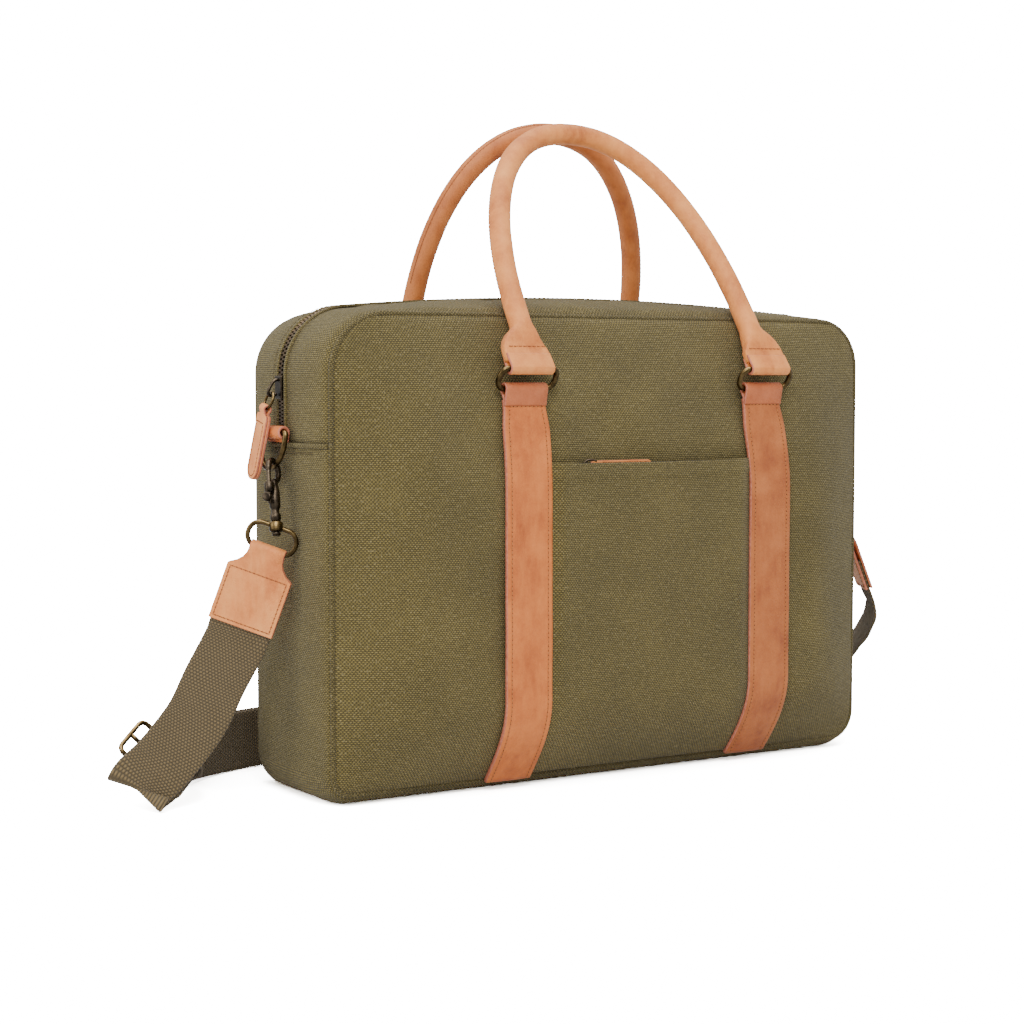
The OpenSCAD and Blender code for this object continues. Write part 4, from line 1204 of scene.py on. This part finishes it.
def make_slider():
    x = -HALF_W - SIDE_SWELL - 0.5
    body = block("slider_body", (x - 1.6, -4.5, SLIDER_Z - 7), (x, 4.5, SLIDER_Z + 7), DARK, 0.7)
    bridge = [(x - 1.2, 0, SLIDER_Z + 4.5), (x - 3.2, 0, SLIDER_Z + 4.2), (x - 5.4, 0, SLIDER_Z + 2.2),
              (CROWN_LOOP[0] - 2.1, 0, CROWN_LOOP[2] + 0.6), (CROWN_LOOP[0] - 1.5, 0, CROWN_LOOP[2] - 1.7),
              (CROWN_LOOP[0] + 0.7, 0, CROWN_LOOP[2] - 2.1), (x - 2.4, 0, CROWN_LOOP[2] - 1.0)]
    crown = wire("slider_crown", spline(bridge, 5), 0.95, DARK, 12)
    slider = joined("zip_slider_metal", [body, crown])
    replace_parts(on_body(slider, "slider"), "zip_slider")


def zip_ring_place():
    return (Matrix.Translation(Vector(CROWN_LOOP) * MM) @ Matrix.Rotation(math.radians(20), 4, "Y")
            @ Matrix.Translation(Vector((0, 0, -5.2)) * MM))


def make_zip_ring():
    path = [(0, 5.2 * math.cos(a), 5.2 * math.sin(a)) for a in np.linspace(0, 2 * math.pi, 41)[:-1]]
    ring = wire("zip_ring_metal", path, 0.9, BRASS, 12, True, zip_ring_place())
    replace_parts(on_body(ring, "slider_ring"), "zip_ring")


def make_zip_pull():
    place = (zip_ring_place() @ Matrix.Rotation(math.radians(12), 4, "X")
             @ Matrix.Translation(Vector((0, 0, -5.2)) * MM) @ Matrix.Rotation(math.radians(-13), 4, "Y")
             @ Matrix.Rotation(math.pi / 2, 4, "Z"))
    half = 7.75
    end = -44 + half
    outline = [(-4, -2.6), (-4.4, -3.3), (-half + 0.6, -3.9), (-half, -5), (-half, -12)]
    outline += [(half * math.cos(a), end + half * math.sin(a)) for a in np.radians(np.linspace(182, 358, 25))]
    outline += [(half, -12), (half, -5), (half - 0.6, -3.9), (4.4, -3.3), (4, -2.6)]
    parts = []
    for side in (-1, 1):
        leaf = plate("leaf", outline, 1.6, [TAB_LEATHER, EDGE], 0.45,
                     place @ Matrix.Translation(Vector((0, side * 0.92, 0)) * MM))
        parts.append(leaf)
    loop = [(0, -0.95, -3.2)]
    for i in range(11):
        a = math.radians(205 - 230 * i / 10)
        loop.append((0, 2.15 * math.cos(a), 2.15 * math.sin(a)))
    loop.append((0, 0.95, -3.2))
    loop = spline(loop, 2)
    across = np.tile((1.0, 0, 0), (len(loop), 1))
    section = rounded_bar(8, 1.1, 0.3)
    lifts = np.cross(frames_along(loop)[0], across)
    parts.append(sweep("neck", loop, across, lifts, section, [TAB_LEATHER, EDGE],
                       bar_slots(section, 8), place=place))
    pull = joined("zip_pull_leather", parts)
    inset = half - 2.2
    rows = []
    for face in (-1, 1):
        line = [((-inset, face * 1.78, z), (0, face, 0)) for z in np.linspace(-9, end, 9)]
        line += [((inset * math.cos(a), face * 1.78, end + inset * math.sin(a)), (0, face, 0))
                 for a in np.radians(np.linspace(185, 355, 14))]
        line += [((inset, face * 1.78, z), (0, face, 0)) for z in np.linspace(end, -9, 9)]
        rows.append(line)
        rows.append([((x, face * 1.78, -8.6), (0, face, 0)) for x in np.linspace(-5.4, 5.4, 5)])
    thread = stitches("zip_pull_thread", rows, HANDLE_THREAD, 2.7, 1.9, 0.3, place)
    for piece in (pull, thread):
        on_body(piece, "slider_pull")
    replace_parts(pull, "zip_pull")


# ---------------------------------------------------------------- side loops, D-rings, hooks and tabs

RING_LEAN = {-1: 10, 1: 16}
HOOK_LEAN = {-1: 6, 1: 16}
HOOK_FORWARD = {-1: 18, 1: 0}
HOOK_ROUND = {-1: 20, 1: 0}
HOOK_TURN = {-1: 38, 1: -38}
TAB_TURN = {-1: -32, 1: 58}
SIDE_NAME = {-1: "left", 1: "right"}
REACH = 37


def leaning(side):
    return (Matrix.Rotation(math.radians(-side * HOOK_LEAN[side]), 4, "Y")
            @ Matrix.Rotation(math.radians(-HOOK_FORWARD[side]), 4, "X"))


def ring_foot(side):
    """Where the hook's eye bears on the bow of its D-ring."""
    along = math.radians(HOOK_ROUND[side])
    lean = math.radians(RING_LEAN[side])
    drop = 6 + 16 * math.cos(along)
    return Vector((side * (LOOP_X + drop * math.sin(lean)), -16 * math.sin(along),
                   LOOP_Z - drop * math.cos(lean)))


def swivel_point(side):
    return ring_foot(side) + leaning(side) @ Vector((0, 0, -REACH))


def hook_place(side):
    turned = Matrix.Rotation(math.radians(HOOK_TURN[side]), 4, "Z")
    return Matrix.Translation(ring_foot(side) * MM) @ leaning(side) @ turned


def tab_place(side):
    angle, axis = (20, "Y") if side < 0 else (-20, "X")
    tilt = Matrix.Rotation(math.radians(angle), 4, axis)
    return (Matrix.Translation(swivel_point(side) * MM)
            @ Matrix.Rotation(math.radians(TAB_TURN[side]), 4, "Z")
            @ tilt)


def make_side_loop(side):
    """A strip of leather rolled round the D-ring's bar, its end caught in the seam below."""
    path = [(-side * 2.4, 0.0, -5.8), (-side * 2.4, 0.0, -4.6), (-side * 2.7, 0, -3.2)]
    for i in range(14):
        a = math.radians(200 - 330 * i / 13)
        path.append((side * 3.15 * math.cos(a), 0.0, 3.15 * math.sin(a)))
    curve = spline(path, 3) + np.array((side * LOOP_X, 0, LOOP_Z))
    across = np.tile((0.0, 1.0, 0.0), (len(curve), 1))
    lifts = np.cross(frames_along(curve)[0], across)
    section = rounded_bar(27, 1.7, 0.6)
    loop = sweep(f"side_loop_{SIDE_NAME[side]}_leather", curve, across, lifts, section, [LEATHER, EDGE],
                 bar_slots(section, 27))
    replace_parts(on_body(loop), f"side_loop_{SIDE_NAME[side]}")


def make_d_ring(side):
    name = SIDE_NAME[side]
    path = [(0, y, 0) for y in np.linspace(-14, 14, 9)]
    path += [(0, 14 + 2 * math.sin(a), -2 + 2 * math.cos(a)) for a in np.radians(np.linspace(15, 90, 5))]
    path += [(0, 16, -4)]
    path += [(0, 16 * math.cos(a), -6 - 16 * math.sin(a)) for a in np.radians(np.linspace(0, 180, 31))]
    path += [(0, -16, -4)]
    path += [(0, -14 - 2 * math.cos(a), -2 + 2 * math.sin(a)) for a in np.radians(np.linspace(0, 75, 5))]
    place = (Matrix.Translation(Vector((side * LOOP_X, 0, LOOP_Z)) * MM)
             @ Matrix.Rotation(math.radians(-side * RING_LEAN[side]), 4, "Y"))
    ring = wire(f"d_ring_{name}_metal", path, 1.75, BRASS, 14, True, place)
    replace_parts(on_body(ring, f"strap_end_{name}"), f"d_ring_{name}")


def make_hook(side):
    name = SIDE_NAME[side]
    place = hook_place(side)
    eye_z = -2.45
    eye = [(6.5 * math.cos(a), 0, eye_z + 6.5 * math.sin(a)) for a in np.radians(np.linspace(-78, 180, 40))]
    eye = [(1.2, 0, eye_z - 8.6)] + eye
    parts = [wire("eye", eye, 1.75, DARK, 14, place=place)]
    parts.append(lathe("eye_tip", [(1.2, -0.9), (1.75, -0.6), (1.75, 0.2)], DARK,
                       place @ Matrix.Translation(Vector((-6.5, 0, eye_z)) * MM), 18))
    parts.append(lathe("shank", [(2.2, -34), (2.9, -33), (3.3, -31.5), (3.3, -30), (2.4, -28.5), (2.4, -26.5),
                                 (3.2, -25), (3.4, -20), (3.2, -16), (2.6, -12.5), (2.2, -9.5), (1.4, -7.8)],
                       DARK, place))
    parts.append(block("web", (-6.4, -1.5, -16.5), (0, 1.5, -11.5), DARK, 0.5, place))
    sleeve = [(2.6, -17), (3.0, -16.4), (3.0, -11.6), (2.6, -11)]
    parts.append(lathe("sleeve", sleeve, DARK, place @ Matrix.Translation(Vector((-6.5, 0, 0)) * MM)))
    parts.append(lathe("pin", [(2.4, -42.4), (2.6, -42), (2.6, -41), (1.6, -40.8), (1.6, -33)], DARK, place))
    hook = joined(f"hook_{name}_metal", parts)
    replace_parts(on_body(hook, f"snap_hook_{name}"), f"hook_{name}")
    aside = place @ Matrix.Translation(Vector((-6.5, 0, 0)) * MM)
    rod = lathe("rod", [(1.0, -24), (1.3, -23.6), (1.3, -3.2), (0.9, -2.8)], DARK, aside, 18)
    disc_place = (place @ Matrix.Translation(Vector((-11.5, 0, -20.6)) * MM)
                  @ Matrix.Rotation(math.pi / 2, 4, "Y"))
    disc = lathe("disc", [(1.6, 0), (2.6, 0.3), (2.8, 0.8), (2.8, 1.9), (2.0, 2.4), (1.2, 2.8), (1.2, 5)],
                 DARK, disc_place, 22)
    bolt = joined(f"bolt_{name}_metal", [rod, disc])
    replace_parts(on_body(bolt, f"snap_bolt_{name}"), f"bolt_{name}")


def make_swivel_ring(side):
    name = SIDE_NAME[side]
    boss_place = Matrix.Translation(swivel_point(side) * MM) @ leaning(side)
    boss = lathe("boss", [(1.9, 3.2), (3.2, 3.0), (4.2, 2.2), (4.2, -2.2), (3.4, -3.0), (2.8, -3.1)],
                 BRASS, boss_place)
    ring = wire("loop", rounded_rectangle(14.8, 15, 7), 1.5, BRASS, 14, True,
                tab_place(side) @ Matrix.Translation(Vector((0, 0, -15)) * MM))
    piece = joined(f"swivel_ring_{name}_metal", [boss, ring])
    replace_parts(on_body(piece, f"strap_end_{name}"), f"swivel_ring_{name}")
    return piece


def make_tab(side):
    """Two leaves of leather sewn over the webbing's end; the neck goes round the wide ring."""
    name = SIDE_NAME[side]
    place = tab_place(side)
    outline = [(-11, -17.5), (-11.3, -20), (-12.8, -23.2), (-15.8, -26.4), (-19.6, -28.8), (-20, -29.4)]
    outline += [(-20, z) for z in np.linspace(-34, -60, 6)] + [(-20, -64), (-8, -64), (8, -64), (20, -64)]
    outline += [(20, z) for z in np.linspace(-60, -34, 6)]
    outline += [(20, -29.4), (19.6, -28.8), (15.8, -26.4), (12.8, -23.2), (11.3, -20), (11, -17.5)]
    parts = []
    for face in (-1, 1):
        leaf = plate("leaf", outline, 1.7, [TAB_LEATHER, EDGE], 0.5,
                     place @ Matrix.Translation(Vector((0, face * 1.95, 0)) * MM))
        parts.append(leaf)
    loop = [(0, -1.9, -21), (0, -2.1, -18.2)]
    for i in range(11):
        a = math.radians(200 - 220 * i / 10)
        loop.append((0, 2.75 * math.cos(a), -15 + 2.75 * math.sin(a)))
    loop += [(0, 2.1, -18.2), (0, 1.9, -21)]
    loop = spline(loop, 2)
    across = np.tile((1.0, 0, 0), (len(loop), 1))
    section = rounded_bar(22, 1.7, 0.5)
    lifts = np.cross(frames_along(loop)[0], across)
    parts.append(sweep("neck", loop, across, lifts, section, [TAB_LEATHER, EDGE],
                       bar_slots(section, 22), place=place))
    tab = joined(f"strap_tab_{name}_leather", parts)
    rows = []
    for face in (-1, 1):
        y = face * 2.85
        corners = [(-17.6, -30.4), (17.6, -30.4), (17.6, -61.6), (-17.6, -61.6), (-17.6, -30.4)]
        for (x0, z0), (x1, z1) in zip(corners, corners[1:]):
            rows.append([((x0 + (x1 - x0) * s, y, z0 + (z1 - z0) * s), (0, face, 0))
                         for s in np.linspace(0, 1, 8)])
    thread = stitches(f"strap_tab_{name}_thread", rows, HANDLE_THREAD, 2.7, 1.9, 0.34, place)
    for piece in (tab, thread):
        on_body(piece, f"strap_end_{name}")
    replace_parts(tab, f"strap_tab_{name}")
    return tab


# ---------------------------------------------------------------- webbing

LONG_ROUTE = [
    [-232.2, -9.1, 125.9, -0.797, 0.498, 0.342], [-237.7, -5.7, 108, -0.797, 0.498, 0.342],
    [-241.2, -3.5, 96.8, -0.797, 0.498, 0.342], [-253.7, -2, 74.6, -0.77, 0.51, 0.38],
    [-263.2, -0.1, 54.8, -0.72, 0.48, 0.50], [-273.6, 2, 40.3, -0.67, 0.43, 0.60],
    [-286.4, 2.2, 27, -0.63, 0.38, 0.68], [-298, 2, 18, -0.61, 0.36, 0.71],
    [-301.2, 1.3, 14.2, -0.62, 0.35, 0.70], [-296.6, 5.2, 16.1, -0.64, 0.32, 0.70],
    [-286.1, 9.7, 20.6, -0.656, 0.30, 0.692], [-278.7, 13.9, 25.8, -0.656, 0.30, 0.692],
    [-267.9, 20.6, 34.6, -0.656, 0.30, 0.692], [-260, 28, 33.6, -0.50, 0.25, 0.83],
    [-250, 44, 27, -0.30, 0.15, 0.94], [-240, 64, 21.5, 0, 0, 1],
    [-208, 86, 19.5, 0, 0, 1], [-176, 97, 19.5, 0, 0, 1], [-130, 104, 19.5, 0, 0, 1],
    [-80, 107, 20, 0, 0, 1], [-30, 108, 22, 0, 0, 1], [10, 108, 23, 0, 0, 1], [36, 108, 23, 0, 0, 1]]
RETURN_ROUTE = [
    [36, 112.5, 23, 0, 0, 1], [10, 112.5, 23, 0, 0, 1], [-30, 112.5, 22, 0, 0, 1],
    [-80, 111.5, 20, 0, 0, 1], [-130, 108.5, 19.5, 0, 0, 1], [-178, 101.5, 19.5, 0, 0, 1],
    [-210.5, 91, 19.5, 0, 0, 1], [-244.5, 68.5, 21, 0, 0, 1], [-255, 47, 26.8, -0.30, 0.15, 0.94],
    [-262.5, 33.5, 30.5, -0.50, 0.25, 0.83], [-268.4, 25.5, 30.6, -0.656, 0.30, 0.692],
    [-279.5, 18.9, 23, -0.656, 0.30, 0.692], [-283.2, 16.8, 20.4, -0.656, 0.30, 0.692]]
SHORT_ROUTE = [
    [54.4, 110, 23, 0, 0, 1], [85, 110, 21.5, 0, 0, 1], [125, 108, 19.5, 0, 0, 1],
    [165, 101, 19.5, 0, 0.1, 1], [200, 86, 20, 0.1, 0.3, 0.95], [228, 64, 25, 0.3, 0.55, 0.78],
    [246, 40, 36, 0.45, 0.75, 0.48], [255.5, 18, 54, 0.52, 0.84, 0.15], [257, 2, 72, 0.53, 0.85, 0],
    [253, -10.5, 87, 0.53, 0.85, 0], [250.1, -13.4, 95.7, 0.53, 0.848, 0],
    [246.6, -11.2, 107, 0.53, 0.848, 0], [241.1, -7.8, 124.9, 0.53, 0.848, 0]]


def webbing_section():
    w = WEBBING_W / 2
    t = WEBBING_T / 2
    face = [(-w + 0.5, t * 0.8), (-w + 2.2, t)] + [(x, t) for x in np.linspace(-w + 4, w - 4, 7)]
    face += [(w - 2.2, t), (w - 0.5, t * 0.8), (w, 0)]
    return face + [(-a, -b) for a, b in face]


def make_webbing(name, route, steps, node, blend_to=None):
    rows = spline(route, steps)
    path = rows[:, :3]
    tangents = frames_along(path)[0]
    across = rows[:, 3:]
    across = across - (across * tangents).sum(1)[:, None] * tangents
    across = across / np.linalg.norm(across, axis=1)[:, None]
    strap = sweep(name, path, across, np.cross(tangents, across), webbing_section(), [WEBBING])
    if blend_to:
        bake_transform(strap)
    else:
        on_body(strap)
    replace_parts(strap, node)


def make_buckles():
    along = Vector((0.742, 0.421, 0.521))
    across = Vector((-0.656, 0.300, 0.692))
    moved = Matrix((along, across.cross(along), across)).transposed().to_4x4()
    moved.translation = Vector((-281.8, 17.6, 27.2)) * MM
    frame_path = [(x, y, z - 22.5) for x, y, z in rounded_rectangle(13, 45, 4)]
    outer = wire("glide_frame", frame_path, 1.5, BRASS, 14, True, moved)
    middle = wire("glide_bar", [(0, 0, z) for z in np.linspace(-22.5, 22.5, 12)], 1.4, BRASS, 14, place=moved)
    glide = joined("tri_glide_metal", [outer, middle])
    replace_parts(on_body(glide), "tri_glide")
    turned = Matrix.Translation(Vector((38, 110, 23)) * MM) @ Matrix.Rotation(math.pi / 2, 4, "Y")
    ring = wire("adjuster_ring_metal", rounded_rectangle(20.8, 13, 4), 1.5, BRASS, 14, True, turned)
    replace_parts(on_body(ring), "adjuster_ring")
    return glide, ring


# ---------------------------------------------------------------- put it together

make_camera()
make_stage()

tabs = {side: make_tab(side) for side in (-1, 1)}
for side in (-1, 1):
    make_swivel_ring(side)
glide_piece, ring_piece = make_buckles()
make_webbing("webbing_long_strap", LONG_ROUTE, 8, "webbing_long",
             ("strap_end_left", (-0.276, 0.002, 0.036), (-0.242, -0.003, 0.095)))
make_webbing("webbing_return_strap", RETURN_ROUTE, 8, "webbing_return")
make_webbing("webbing_short_strap", SHORT_ROUTE, 8, "webbing_short",
             ("strap_end_right", (0.245, 0.045, 0.034), (0.2535, -0.010, 0.088)))

make_panel("front_panel", FRONT, 0, ("front_panel_lower", "front_panel_upper"))
make_panel("back_panel", BACK, 30, ("back_panel_lower", "back_panel_upper"))
make_gussets()
make_side_seams()
make_pocket()
make_pocket_zip()
for back, prefix, place in ((False, "front", FRONT), (True, "back", BACK)):
    for side, x in zip(("left", "right"), STRAP_X):
        make_strap(f"{prefix}_strap_{side}", x, place,
                   (f"{prefix}_strap_lower_{side}", f"{prefix}_strap_upper_{side}"))
        make_handle_ring(f"{prefix}_ring_{side}_metal", x, back,
                         f"{prefix}_ring_{side[0]}", f"{prefix}_ring_{side}")
make_handle("front_handle_leather", 182.5, 32.2, False, "front_handle_body",
            ("front_handle", "front_handle_rope"))
make_handle("back_handle_leather", 163, 15.5, True, "back_handle_body",
            ("back_handle", "back_handle_rope"))
make_slider()
make_zip_ring()
make_zip_pull()
for side in (-1, 1):
    make_side_loop(side)
    make_d_ring(side)
    make_hook(side)

# The inside keeps its CAD shapes and takes the same kind of finish
for node_name, finish in (("base_board", BOARD), ("lining_lower", LINING), ("laptop_sleeve", LINING),
                          ("lining_front", LINING), ("lining_back", LINING)):
    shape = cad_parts[node_name]
    shape.data.materials.clear()
    shape.data.materials.append(finish)
